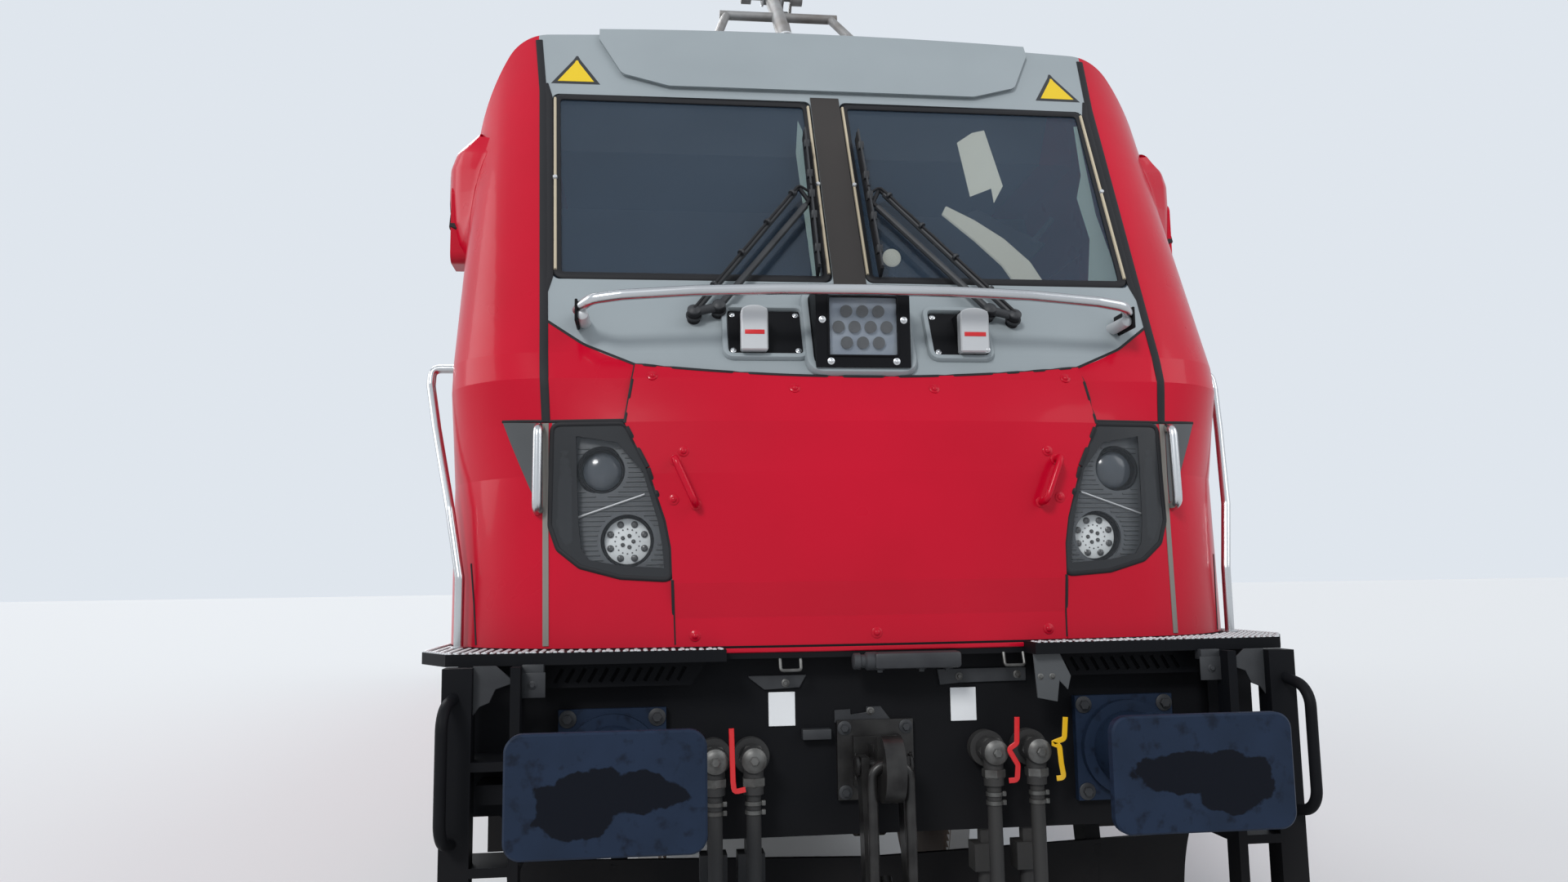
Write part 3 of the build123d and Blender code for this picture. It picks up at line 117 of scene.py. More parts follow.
def mixNode(tree, factor, first, second):
    mix = tree.nodes.new("ShaderNodeMix")
    mix.data_type = "RGBA"
    tree.links.new(factor, mix.inputs[0])
    for socket, value in ((mix.inputs[6], first), (mix.inputs[7], second)):
        if isinstance(value, tuple):
            socket.default_value = (*value, 1)
        else:
            tree.links.new(value, socket)
    return mix.outputs[2]


def mathNode(tree, kind, first, second=None, clamp=False):
    node = tree.nodes.new("ShaderNodeMath")
    node.operation = kind
    node.use_clamp = clamp
    for socket, value in ((node.inputs[0], first), (node.inputs[1], second)):
        if isinstance(value, (int, float)):
            socket.default_value = value
        elif value is not None:
            tree.links.new(value, socket)
    return node.outputs[0]


def rangeNode(tree, source, fromLow, fromHigh, toLow, toHigh):
    node = tree.nodes.new("ShaderNodeMapRange")
    for label, value in (("From Min", fromLow), ("From Max", fromHigh), ("To Min", toLow),
                         ("To Max", toHigh)):
        node.inputs[label].default_value = value
    tree.links.new(source, node.inputs[0])
    return node.outputs[0]


def bumpNode(tree, height, strength, distance, shader):
    bump = tree.nodes.new("ShaderNodeBump")
    bump.inputs["Strength"].default_value = strength
    bump.inputs["Distance"].default_value = distance
    tree.links.new(height, bump.inputs["Height"])
    tree.links.new(bump.outputs[0], shader.inputs["Normal"])


def greaseMask(tree, where, look):
    # An uneven patch on each buffer pad, where the next vehicle's pads rub: two lobes with a ragged edge
    split = tree.nodes.new("ShaderNodeSeparateXYZ")
    tree.links.new(where, split.inputs[0])
    edge = noiseNode(tree, look["ragged"], 6, where)
    push = mathNode(tree, "MULTIPLY", edge.outputs["Fac"], look["push"])
    outward = mathNode(tree, "ABSOLUTE", split.outputs[0])
    lobes = []
    for x, z, halfWidth, halfHeight in look["lobes"]:
        across = mathNode(tree, "SUBTRACT", outward, x)
        across = mathNode(tree, "DIVIDE", across, halfWidth)
        upward = mathNode(tree, "SUBTRACT", split.outputs[2], z)
        upward = mathNode(tree, "DIVIDE", upward, halfHeight)
        squares = [mathNode(tree, "MULTIPLY", part, part) for part in (across, upward)]
        lobes.append(mathNode(tree, "ADD", *squares))
    reach = mathNode(tree, "ADD", mathNode(tree, "MINIMUM", *lobes), push)
    mask = rangeNode(tree, reach, look["push"] * 0.5 + 0.86, look["push"] * 0.5 + 0.98, 1, 0)
    lengthwise = mathNode(tree, "ABSOLUTE", split.outputs[1])
    atFace = rangeNode(tree, lengthwise, look["face"] - 0.01, look["face"], 0, 1)
    return mathNode(tree, "MULTIPLY", mask, atFace, clamp=True)


def finish(name, colour, **look):
    # A painted, moulded or bare surface: patches of a second tone, fine grain, dirt low down, worn
    # roughness, and where asked a glow that is painted light
    material, tree, shader = newMaterial(name)
    where = tree.nodes.new("ShaderNodeTexCoord").outputs["Object"]
    patches = noiseNode(tree, look.get("patchScale", 1.3), 4, where)
    second = look.get("second", tuple(c * 0.82 for c in colour))
    tone = mixNode(tree, rampNode(tree, patches.outputs["Fac"], 0.35, 0.7), colour, second)
    if "speckle" in look:
        specks = noiseNode(tree, look.get("speckleScale", 60), 3, where)
        mask = rampNode(tree, specks.outputs["Fac"], 0.55, 0.72)
        mask = mathNode(tree, "MULTIPLY", mask, look.get("speckleShare", 0.6), clamp=True)
        tone = mixNode(tree, mask, tone, look["speckle"])
    if "dust" in look:
        split = tree.nodes.new("ShaderNodeSeparateXYZ")
        tree.links.new(where, split.inputs[0])
        low, high = look.get("dustRange", (0.6, 2.4))
        fade = rangeNode(tree, split.outputs[2], low, high, look.get("dustShare", 0.45), 0)
        grime = noiseNode(tree, 5, 5, where, (1, 1, 0.25))
        mask = mathNode(tree, "MULTIPLY", fade, grime.outputs["Fac"], clamp=True)
        tone = mixNode(tree, mask, tone, look["dust"])
    low, high = look.get("rough", (0.35, 0.5))
    roughness = noiseNode(tree, 4, 3, where)
    roughness = rangeNode(tree, roughness.outputs["Fac"], 0, 1, low, high)
    if "grease" in look:
        mask = greaseMask(tree, where, look["grease"])
        tone = mixNode(tree, mask, tone, look["grease"]["colour"])
        smoother = mathNode(tree, "MULTIPLY", mask, 0.15, clamp=True)
        roughness = mathNode(tree, "SUBTRACT", roughness, smoother, clamp=True)
    tree.links.new(tone, shader.inputs["Base Color"])
    tree.links.new(roughness, shader.inputs["Roughness"])
    shader.inputs["Metallic"].default_value = look.get("metal", 0)
    shader.inputs["Specular IOR Level"].default_value = look.get("specular", 0.4)
    # The glow makes a surface shine by itself: painted light, for parts that are no lamps
    if "glow" in look:
        shader.inputs["Emission Color"].default_value = (*colour, 1)
        shader.inputs["Emission Strength"].default_value = look["glow"]
    shader.inputs["Coat Weight"].default_value = look.get("coat", 0)
    shader.inputs["Coat Roughness"].default_value = 0.06
    grain = noiseNode(tree, look.get("grainScale", 90), 2, where, look.get("grainStretch"))
    bumpNode(tree, grain.outputs["Fac"], look.get("grain", 0.08), 0.002, shader)
    return material


def clearGlass(name, tint, alpha):
    material, tree, shader = newMaterial(name)
    where = tree.nodes.new("ShaderNodeTexCoord").outputs["Object"]
    film = noiseNode(tree, 2.5, 4, where)
    tone = mixNode(tree, film.outputs["Fac"], tint, tuple(min(1, c * 1.35 + 0.01) for c in tint))
    tree.links.new(tone, shader.inputs["Base Color"])
    shader.inputs["Roughness"].default_value = 0
    shader.inputs["IOR"].default_value = 1.5
    shader.inputs["Alpha"].default_value = alpha
    return material


greaseLook = {
    "lobes": [(0.862, 1.093, 0.215, 0.066), (0.958, 1.052, 0.120, 0.080)], "face": 9.44,
    "ragged": 15.0, "push": 1.9, "colour": (0.0016, 0.0028, 0.0065),
}

paints = {
    "crimson": finish("crimsonPaint", (0.50, 0.0012, 0.020), second=(0.44, 0.0010, 0.016),
                      rough=(0.24, 0.34), coat=0.16, specular=0.12, grain=0.012, grainScale=22,
                      dust=(0.14, 0.03, 0.035), dustRange=(1.3, 1.9), dustShare=0.16),
    "hoodGrey": finish("hoodGrey", (0.285, 0.320, 0.335), second=(0.255, 0.288, 0.302), rough=(0.30, 0.44),
                       coat=0.15, specular=0.3, grain=0.02, grainScale=30),
    "roofGrey": finish("roofGrey", (0.19, 0.205, 0.21), second=(0.13, 0.135, 0.13), rough=(0.5, 0.7),
                       patchScale=2.2, speckle=(0.09, 0.08, 0.07), speckleScale=14),
    "frameBlack": finish("frameBlack", (0.0045, 0.005, 0.0065), second=(0.008, 0.008, 0.009),
                         rough=(0.45, 0.65), specular=0.08, dust=(0.055, 0.046, 0.038),
                         dustRange=(0.1, 0.95), dustShare=0.4),
    "bogieBlack": finish("bogieBlack", (0.022, 0.021, 0.020), second=(0.036, 0.031, 0.026), rough=(0.6, 0.8),
                         specular=0.2, dust=(0.10, 0.08, 0.06), dustRange=(0.1, 1.2), dustShare=0.6,
                         patchScale=4),
    "wheelSteel": finish("wheelSteel", (0.11, 0.085, 0.07), second=(0.07, 0.05, 0.04), metal=0.5,
                         rough=(0.5, 0.75), patchScale=3),
    "discSteel": finish("discSteel", (0.20, 0.19, 0.18), second=(0.12, 0.10, 0.085), metal=0.6,
                        rough=(0.35, 0.5), patchScale=5),
    "tread": finish("treadSteel", (0.55, 0.54, 0.53), metal=1, rough=(0.16, 0.3)),
    "buffer": finish("bufferPaint", (0.0125, 0.0225, 0.046), second=(0.010, 0.018, 0.036), rough=(0.42, 0.6),
                     specular=0.12, patchScale=6, speckle=(0.004, 0.006, 0.012), speckleScale=26,
                     speckleShare=0.7, grain=0.12, grease=greaseLook),
    "stainless": finish("stainlessTube", (0.60, 0.61, 0.62), metal=1, rough=(0.20, 0.32),
                        grainStretch=(1, 1, 12)),
    "greyPlate": finish("greyPlate", (0.075, 0.08, 0.085), second=(0.055, 0.058, 0.06), rough=(0.35, 0.5)),
    "darkMetal": finish("darkMetal", (0.035, 0.037, 0.040), second=(0.022, 0.023, 0.026), rough=(0.4, 0.6),
                        specular=0.3, patchScale=9),
    "rubber": finish("blackRubber", (0.010, 0.010, 0.012), rough=(0.5, 0.7), specular=0.25, grain=0.2,
                     grainScale=160),
    "pillar": finish("pillarCover", (0.030, 0.025, 0.022), second=(0.022, 0.019, 0.018), rough=(0.4, 0.55),
                     specular=0.3),
    "gloss": finish("blackGloss", (0.012, 0.013, 0.015), rough=(0.10, 0.18), specular=0.4, coat=0.2,
                    grain=0.01),
    "sealGrey": finish("greySealant", (0.20, 0.185, 0.165), rough=(0.45, 0.6)),
    "sealCream": finish("creamSealant", (0.50, 0.43, 0.31), rough=(0.5, 0.7), grain=0.2),
    "plastic": finish("cabPlastic", (0.055, 0.06, 0.068), rough=(0.5, 0.7), grain=0.3, grainScale=240),
    "plasticLight": finish("cabPanel", (0.30, 0.31, 0.31), rough=(0.5, 0.7), grain=0.2, grainScale=200),
    "seatCloth": finish("seatCloth", (0.022, 0.028, 0.045), second=(0.035, 0.042, 0.06), rough=(0.8, 0.95),
                        patchScale=30, grain=0.6, grainScale=300),
    "screen": finish("screenGlass", (0.008, 0.012, 0.018), rough=(0.05, 0.1), coat=0.5, grain=0.0),
    "bezel": finish("lampBezel", (0.085, 0.092, 0.10), rough=(0.35, 0.5)),
    "reflector": finish("lampReflector", (0.07, 0.08, 0.095), second=(0.05, 0.06, 0.07), rough=(0.14, 0.25),
                        coat=0.4, patchScale=8),
    "whitePlastic": finish("ledBoard", (0.88, 0.91, 0.91), second=(0.84, 0.87, 0.87), rough=(0.3, 0.45)),
    "darkLed": finish("ledDome", (0.055, 0.06, 0.065), second=(0.10, 0.10, 0.10), rough=(0.1, 0.2),
                      coat=0.5),
    "redPaint": finish("redEnamel", (0.62, 0.008, 0.012), rough=(0.3, 0.45), coat=0.3),
    "yellowPaint": finish("yellowEnamel", (0.78, 0.45, 0.01), rough=(0.32, 0.48), coat=0.3),
    "signYellow": finish("signYellow", (0.72, 0.50, 0.008), second=(0.68, 0.46, 0.008), rough=(0.35, 0.45)),
    "whitePlate": finish("whitePlate", (0.80, 0.81, 0.82), second=(0.74, 0.75, 0.76), rough=(0.35, 0.5)),
    # The note paper glows though it is no lamp: painted light that makes the sheet and arm behind the pane
    # bright
    "paper": finish("notePaperPaintedLight", (0.88, 0.90, 0.76), second=(0.84, 0.86, 0.72), rough=(0.8, 0.9),
                    glow=0.55),
    "hose": finish("hoseRubber", (0.022, 0.023, 0.025), second=(0.040, 0.038, 0.036), rough=(0.55, 0.75),
                   specular=0.25, grain=0.25, grainScale=120),
    "fitting": finish("zincFitting", (0.13, 0.13, 0.125), second=(0.06, 0.057, 0.054), metal=0.6,
                      rough=(0.35, 0.55), patchScale=20),
    "greasySteel": finish("greasySteel", (0.030, 0.029, 0.028), second=(0.012, 0.011, 0.011), metal=0.4,
                          rough=(0.2, 0.5), patchScale=14),
    "panto": finish("pantographMetal", (0.28, 0.28, 0.28), second=(0.15, 0.13, 0.115), metal=0.5,
                    rough=(0.4, 0.6), patchScale=5),
    "carbon": finish("carbonStrip", (0.02, 0.02, 0.021), rough=(0.35, 0.5), metal=0.3),
    "insulator": finish("glazedInsulator", (0.20, 0.045, 0.02), second=(0.16, 0.035, 0.016),
                        rough=(0.12, 0.2), coat=0.6),
    "copper": finish("copperBraid", (0.45, 0.20, 0.10), metal=0.9, rough=(0.35, 0.5), grain=0.6,
                     grainScale=200),
    "springBlack": finish("springBlack", (0.012, 0.012, 0.013), second=(0.022, 0.020, 0.018),
                          rough=(0.4, 0.6), specular=0.3, patchScale=12),
    # Pale mint linings with a glow: their own pale colour, and painted daylight from the side windows
    "mint": finish("paleLiningPaintedLight", (0.50, 0.66, 0.60), second=(0.44, 0.60, 0.55), rough=(0.5, 0.7),
                   glow=0.45),
    "reflectorPale": finish("paleReflector", (0.26, 0.30, 0.36), second=(0.34, 0.38, 0.43), metal=0.2,
                            rough=(0.25, 0.4), patchScale=14),
    "alloy": finish("castAlloy", (0.55, 0.56, 0.57), second=(0.46, 0.47, 0.48), metal=0.3,
                    rough=(0.35, 0.55)),
}
glasses = {
    "windscreen": clearGlass("windscreenGlass", (0.028, 0.050, 0.080), 0.40),
    "sideGlass": clearGlass("sideGlass", (0.012, 0.018, 0.024), 0.75),
    "cover": clearGlass("lampCover", (0.10, 0.11, 0.12), 0.08),
}
print("stage: materials", len(paints) + len(glasses))

nodePaint = {
    "cab_shells": "crimson", "nose_hatches": "crimson", "side_walls": "crimson", "cab_masks": "hoodGrey",
    "roof_sections": "roofGrey", "roof_gear": "roofGrey", "main_frame": "frameBlack",
    "side_sills": "frameBlack",
    "cross_members": "frameBlack", "end_steps": "frameBlack", "snow_ploughs": "frameBlack",
    "transformer": "frameBlack", "buffers": "buffer", "draw_hooks": "greasySteel",
    "screw_couplings": "greasySteel", "brake_hoses": "hose", "handrails": "stainless",
    "cab_interiors": "plastic", "headlamps": "bezel", "wipers": "rubber",
    "cab_windows": "windscreen", "lamp_covers": "cover",
}
prefixPaint = {
    "cab_door": "crimson", "bogie_frame": "bogieBlack", "springs": "bogieBlack", "drive_units": "bogieBlack",
    "wheelset": "wheelSteel", "pantograph": "panto",
}
headlampPaint = [
    # paint, then the box of its faces: out from the middle plane, depth and height
    ("alloy", (0.33, 0.47), (0, 0.68), (0, 4)),
    ("frameBlack", (-1, 0.18), (0, 0.90), (0, 4)),
    ("reflectorPale", (-1, 0.124), (0.6305, 0.634), (0, 4)),
    ("darkLed", (-1, 0.124), (0.6195, 0.6315), (2.46, 2.68)),
    ("frameBlack", (0.18, 0.5), (0.68, 4), (0, 4)),
]
doorGlass = {"across": (bodyHalfWidth - 0.045, bodyHalfWidth - 0.01), "depths": (2.29, 2.66),
             "heights": (2.45, 3.14)}
smoothAngle = 24


def paintOf(key):
    return paints.get(key) or glasses[key]


def paintNode(name, node):
    key = nodePaint.get(name)
    if key is None:
        key = next(value for prefix, value in prefixPaint.items() if name.startswith(prefix))
    node.data.materials.clear()
    node.data.materials.append(paintOf(key))
    node.data.shade_smooth()
    node.data.set_sharp_from_angle(angle=radians(smoothAngle))


def paintFaces(name, key, test):
    # Faces of a node whose middle, as x, depth from the nearer end and height, passes the test
    mesh = nodes[name].data
    mesh.materials.append(paintOf(key))
    index = len(mesh.materials) - 1
    for face in mesh.polygons:
        middle = face.center
        if test(middle[0], halfLength - abs(middle[1]), middle[2], face.normal):
            face.material_index = index


def paintBox(name, key, across, depths, heights):
    # Faces whose middle lies in a box, on both sides and at both ends
    paintFaces(name, key, lambda x, depth, z, _: (
        across[0] < abs(x) < across[1] and depths[0] < depth < depths[1] and heights[0] < z < heights[1]))


for name, node in nodes.items():
    paintNode(name, node)

for side in ("front_left", "front_right", "rear_left", "rear_right"):
    paintBox("cab_door_" + side, "sideGlass", **doorGlass)
for row in headlampPaint:
    paintBox("headlamps", *row)
print("stage: nodes painted", len(nodes))


# Shapes. Places are x across, depth inward from the buffer faces, and height, all in metres.

# Right and up as in the photograph, and the way out of the end that it shows
rightWay, upWay, frontWay = Vector((1, 0, 0)), Vector((0, 0, 1)), Vector((0, -1, 0))
middlePlace = Vector((0, 0, 0))
endPlace = Vector((0, -halfLength, 0))


def atEnd(x, depth, height):
    return Vector((x, depth - halfLength, height))


def endPoints(points):
    return [atEnd(*point) for point in points]


def between(start, end, share):
    return [a + (b - a) * share for a, b in zip(start, end)]


def newMeshes(count):
    return [bmesh.new() for _ in range(count)]


def crossAxes(direction):
    side = direction.cross(upWay)
    if side.length < 0.01 * direction.length:
        side = direction.cross(rightWay)
    side.normalize()
    return side, side.cross(direction.normalized())


def addRings(bm, rings, capped=True, loop=False):
    # Each ring is a list of points; a ring of one point is a tip
    rows = [[bm.verts.new(point) for point in ring] for ring in rings]
    pairs = list(zip(rows, rows[1:]))
    if loop:
        pairs.append((rows[-1], rows[0]))
    for near, far in pairs:
        for i in range(max(len(near), len(far))):
            j = i + 1
            corners = [near[i % len(near)], near[j % len(near)], far[j % len(far)], far[i % len(far)]]
            bm.faces.new(list(dict.fromkeys(corners)))
    if capped and not loop:
        for row in (rows[0], rows[-1]):
            if len(row) > 2:
                bm.faces.new(row)


def circleOf(centre, side, up, radius, sides, shift=0):
    turns = [2 * pi * (i + shift) / sides for i in range(sides)]
    return [centre + (side * cos(turn) + up * sin(turn)) * radius for turn in turns]


def addRevolve(bm, place, axis, profile, sides, loop=False):
    # The profile is reach along the axis and radius
    axis = axis.normalized()
    side, up = crossAxes(axis)
    rings = []
    for reach, radius in profile:
        centre = place + axis * reach
        rings.append(circleOf(centre, side, up, radius, sides) if radius > 0 else [centre])
    addRings(bm, rings, loop=loop)


def addRing(bm, place, axis, inner, outer, length, sides, taper=0):
    profile = [(0, inner), (taper, outer), (length - taper, outer), (length, inner)]
    addRevolve(bm, place, axis, profile, sides, loop=True)


def addRod(bm, start, end, radius, chamfer=0.0, sides=20):
    length = (end - start).length
    profile = [(0, radius), (length, radius)]
    if chamfer:
        profile = [(0, radius - chamfer), (chamfer, radius), (length - chamfer, radius),
                   (length, radius - chamfer)]
    addRevolve(bm, start, end - start, profile, sides)


def roundedPath(points, bend, steps=5):
    path = [points[0]]
    for before, corner, after in zip(points, points[1:], points[2:]):
        into, out = corner - before, after - corner
        reach = min(bend * tan(into.angle(out) / 2), 0.49 * into.length, 0.49 * out.length)
        first = corner - into.normalized() * reach
        last = corner + out.normalized() * reach
        for k in range(steps + 1):
            t = k / steps
            path.append(first * (1 - t) ** 2 + corner * 2 * t * (1 - t) + last * t * t)
    path.append(points[-1])
    return path


def addTube(bm, points, radius, bend=0.0, sides=12, steps=5):
    path = roundedPath(points, bend, steps) if bend else points
    side, _ = crossAxes(path[1] - path[0])
    rings = []
    for i, place in enumerate(path):
        ahead = (path[min(i + 1, len(path) - 1)] - path[max(i - 1, 0)]).normalized()
        side = (side - ahead * side.dot(ahead)).normalized()
        rings.append(circleOf(place, side, ahead.cross(side), radius, sides))
    addRings(bm, rings)


def addBlock(bm, low, high, bevel, turn=None):
    made = bmesh.ops.create_cube(bm, size=1)["verts"]
    middle = (low + high) / 2
    size = Matrix.Diagonal((*(high - low), 1))
    bmesh.ops.transform(bm, matrix=Matrix.Translation(middle) @ (turn or Matrix()) @ size, verts=made)
    edges = list({edge for vert in made for edge in vert.link_edges})
    bmesh.ops.bevel(bm, geom=edges, offset=bevel, segments=2, affect="EDGES", profile=0.5)


def addBox(bm, place, xs, ys, zs, bevel):
    # A block whose sides lie at these steps from a place
    low, high = (place + Vector(corner) for corner in zip(xs, ys, zs))
    addBlock(bm, low, high, bevel)


def addPlate(bm, points, place, thickness, bevel=0.0015):
    # A flat outline, given across and upward from a place, made thick towards the front
    corners = [bm.verts.new(place + Vector((x, 0, z))) for x, z in points]
    made = bmesh.ops.extrude_face_region(bm, geom=[bm.faces.new(corners)])["geom"]
    moved = [item for item in made if isinstance(item, bmesh.types.BMVert)]
    bmesh.ops.translate(bm, verts=moved, vec=frontWay * thickness)
    edges = list({edge for vert in corners + moved for edge in vert.link_edges})
    bmesh.ops.bevel(bm, geom=edges, offset=bevel, segments=1, affect="EDGES", profile=0.5)


def addBolt(bm, place, normal, radius, dome=False):
    addRevolve(bm, place - normal * radius * 0.2, normal, [(0, radius * 1.7), (radius * 0.4, radius * 1.7),
                                                           (radius * 0.5, radius * 1.55)], 16)
    place = place + normal * radius * 0.2
    if dome:
        addRevolve(bm, place, normal,
                   [(0, radius), (radius * 0.35, radius * 0.92), (radius * 0.62, radius * 0.6),
                    (radius * 0.72, 0)], 14)
    else:
        addRevolve(bm, place, normal, [(0, radius), (radius * 0.8, radius), (radius * 0.95, radius * 0.85)],
                   6)


def addMirrors(*meshes):
    # Copies what a mesh holds to the locomotive's other side
    for bm in meshes:
        copies = bmesh.ops.duplicate(bm, geom=bm.verts[:] + bm.edges[:] + bm.faces[:])["geom"]
        verts = [item for item in copies if isinstance(item, bmesh.types.BMVert)]
        bmesh.ops.scale(bm, vec=(-1, 1, 1), verts=verts)


def skinOf(*names):
    corners, faces = [], []
    for name in names:
        mesh = nodes[name].data
        base = len(corners)
        corners += [vert.co.copy() for vert in mesh.vertices]
        faces += [[base + index for index in face.vertices] for face in mesh.polygons]
    return BVHTree.FromPolygons(corners, faces)


cabSkin = skinOf("cab_shells", "cab_masks", "nose_hatches", "lamp_covers", "headlamps")
paneSkin = skinOf("cab_windows")
maskSkin = skinOf("cab_masks", "cab_shells", "nose_hatches")
sideSkin = skinOf("cab_shells", "side_walls", *[name for name in nodes if name.startswith("cab_door")])


def onSkin(skin, x, height):
    # Where a line along the locomotive, from in front of it, first meets the skin
    place, normal, _, _ = skin.ray_cast(atEnd(x, -1, height), -frontWay)
    if place is None:
        raise ValueError(f"nothing in front at x {x:.3f}, height {height:.3f}")
    return place, (-normal if normal.y > 0 else normal)


def skinLine(skin, points, step=0.02, loop=False, bend=0.0, find=onSkin):
    # Points as (x, height) become a fine line on the skin, with its normals evened out along it
    flat = [Vector((x, 0, z)) for x, z in points]
    if bend and not loop:
        flat = roundedPath(flat, bend)
    elif bend:
        middle = (flat[0] + flat[-1]) / 2
        flat = roundedPath([middle] + flat + [middle], bend)[:-1]
    ends = flat[1:] + (flat[:1] if loop else [])
    fine = []
    for start, end in zip(flat, ends):
        count = max(1, round((end - start).length / step))
        fine += [start.lerp(end, k / count) for k in range(count)]
    if not loop:
        fine.append(flat[-1])
    found = [find(skin, point.x, point.z) for point in fine]
    line = []
    for i, (place, normal) in enumerate(found):
        near = found[max(i - 1, 0)][1] + normal + found[min(i + 1, len(found) - 1)][1]
        line.append((place, near.normalized()))
    return line


stripShape = [(-0.5, -1), (-0.5, 0.5), (-0.32, 0.92), (0, 1), (0.32, 0.92), (0.5, 0.5), (0.5, -1)]


def addStrip(bm, line, width, rise, sink=0.004, loop=False, shape=stripShape):
    rings = []
    last = len(line) - 1
    for i, (place, normal) in enumerate(line):
        before = line[(i - 1) % len(line) if loop else max(i - 1, 0)][0]
        after = line[(i + 1) % len(line) if loop else min(i + 1, last)][0]
        side = (after - before).cross(normal).normalized()
        steps = [(a * width, b * rise if b > 0 else b * sink) for a, b in shape]
        rings.append([place + side * a + normal * b for a, b in steps])
    addRings(bm, rings, loop=loop)


def addPatch(bm, skin, rows, columns, rise, sink=0.003):
    # A thin panel that follows the skin; each row is its left and right points as (x, height), from below up
    grid = []
    for left, right in rows:
        line = []
        for k in range(columns + 1):
            share = k / columns
            place, normal = onSkin(skin, *between(left, right, share))
            line.append((bm.verts.new(place + normal * rise), bm.verts.new(place - normal * sink)))
        grid.append(line)
    for low, high in zip(grid, grid[1:]):
        for k in range(columns):
            for layer in (0, 1):
                bm.faces.new((low[k][layer], low[k + 1][layer], high[k + 1][layer], high[k][layer]))
        for k in (0, columns):
            bm.faces.new((low[k][0], high[k][0], high[k][1], low[k][1]))
    for line in (grid[0], grid[-1]):
        for k in range(columns):
            bm.faces.new((line[k][0], line[k + 1][0], line[k + 1][1], line[k][1]))


def addBand(bm, skin, outer, inner, rise, step=0.03, sink=0.002):
    # A flat band between two outlines that have as many corners each
    rings = []
    for (a0, b0), (a1, b1) in zip(zip(outer, inner), zip(outer[1:] + outer[:1], inner[1:] + inner[:1])):
        count = max(1, round(hypot(a1[0] - a0[0], a1[1] - a0[1]) / step))
        for k in range(count):
            share = k / count
            ring = []
            for start, end, lift in ((a0, a1, -sink), (a0, a1, rise), (b0, b1, rise), (b0, b1, -sink)):
                place, normal = onSkin(skin, *between(start, end, share))
                ring.append(place + normal * lift)
            rings.append(ring)
    addRings(bm, rings, loop=True)


pieceCount = {"pieces": 0, "triangles": 0}


def makePiece(name, bm, paint, slot, body="carbody", bothEnds=True, sharp=35, turned=False):
    # Pieces of the photographed end are drawn once and turned about the middle for the other end
    bmesh.ops.recalc_face_normals(bm, faces=bm.faces)
    mesh = bpy.data.meshes.new(name)
    bm.to_mesh(mesh)
    bm.free()
    mesh.materials.append(paintOf(paint))
    mesh.shade_smooth()
    mesh.set_sharp_from_angle(angle=radians(sharp))
    turns = (("_front", 0), ("_rear", pi)) if bothEnds else (("", pi if turned else 0),)
    made = []
    for label, turn in turns:
        piece = bpy.data.objects.new(name + label, mesh)
        bpy.context.collection.objects.link(piece)
        piece.rotation_euler = (0, 0, turn)
        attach(piece, body.format(end=label[1:]))
        made.append(piece)
        pieceCount["pieces"] += 1
        pieceCount["triangles"] += sum(len(face.vertices) - 2 for face in mesh.polygons)
    return made


def makePieces(rows, **options):
    for name, bm, paint, slot in rows:
        makePiece(name, bm, paint, slot, **options)


# Windscreens: rubber round each pane, cream seal strips at its upright edges, and the dark pillar cover
paneLook = {
    "pillar": 0.063, "bottom": 2.790, "top": 3.730, "bottomHalf": 1.110, "topHalf": 1.160, "corner": 0.035,
    "rubberIn": 0.016, "rubberWidth": 0.034, "rubberRise": 0.011, "creamIn": 0.012, "creamWidth": 0.013,
    "creamRise": 0.019, "creamEnd": 0.035, "clipHeight": 3.26, "coverHalf": 0.0622, "coverRise": 0.004,
}


def paneOutline(look, inset):
    return [
        (look["pillar"] + inset, look["bottom"] + inset),
        (look["bottomHalf"] - inset, look["bottom"] + inset),
        (look["topHalf"] - inset, look["top"] - inset), (look["pillar"] + inset, look["top"] - inset),
    ]


def buildPanes(look):
    rubber, cream, clips, cover = newMeshes(4)
    line = skinLine(paneSkin, paneOutline(look, look["rubberIn"]), 0.03, loop=True, bend=look["corner"])
    addStrip(rubber, line, look["rubberWidth"], look["rubberRise"], loop=True)
    low, high = look["bottom"] + look["creamEnd"], look["top"] - look["creamEnd"]
    slope = (look["topHalf"] - look["bottomHalf"]) / (look["top"] - look["bottom"])
    inner = look["pillar"] + look["creamIn"]
    outerLow = look["bottomHalf"] - look["creamIn"] + slope * look["creamEnd"]
    outerHigh = look["topHalf"] - look["creamIn"] - slope * look["creamEnd"]
    for points in ([(inner, low), (inner, high)], [(outerLow, low), (outerHigh, high)]):
        addStrip(cream, skinLine(paneSkin, points, 0.05), look["creamWidth"], look["creamRise"])
        middle = (points[0][0] + points[1][0]) / 2
        place, normal = onSkin(paneSkin, middle, look["clipHeight"])
        addRod(clips, place + normal * 0.012, place + normal * 0.026, 0.009, 0.002, 10)
    addMirrors(rubber, cream, clips)
    half = look["coverHalf"]
    rows = [((-half, z), (half, z)) for z in (look["bottom"] - 0.02, 3.0, 3.25, 3.5, look["top"] + 0.02)]
    addPatch(cover, cabSkin, rows, 4, look["coverRise"])
    makePieces([
        ("paneRubber", rubber, "rubber", "hose_rubber"),
        ("paneSealStrips", cream, "sealCream", "lamp_plastic"),
        ("sealClips", clips, "alloy", "rail_steel"),
        ("pillarCover", cover, "pillar", "hose_rubber"),
    ])


buildPanes(paneLook)
print("stage: windscreens")


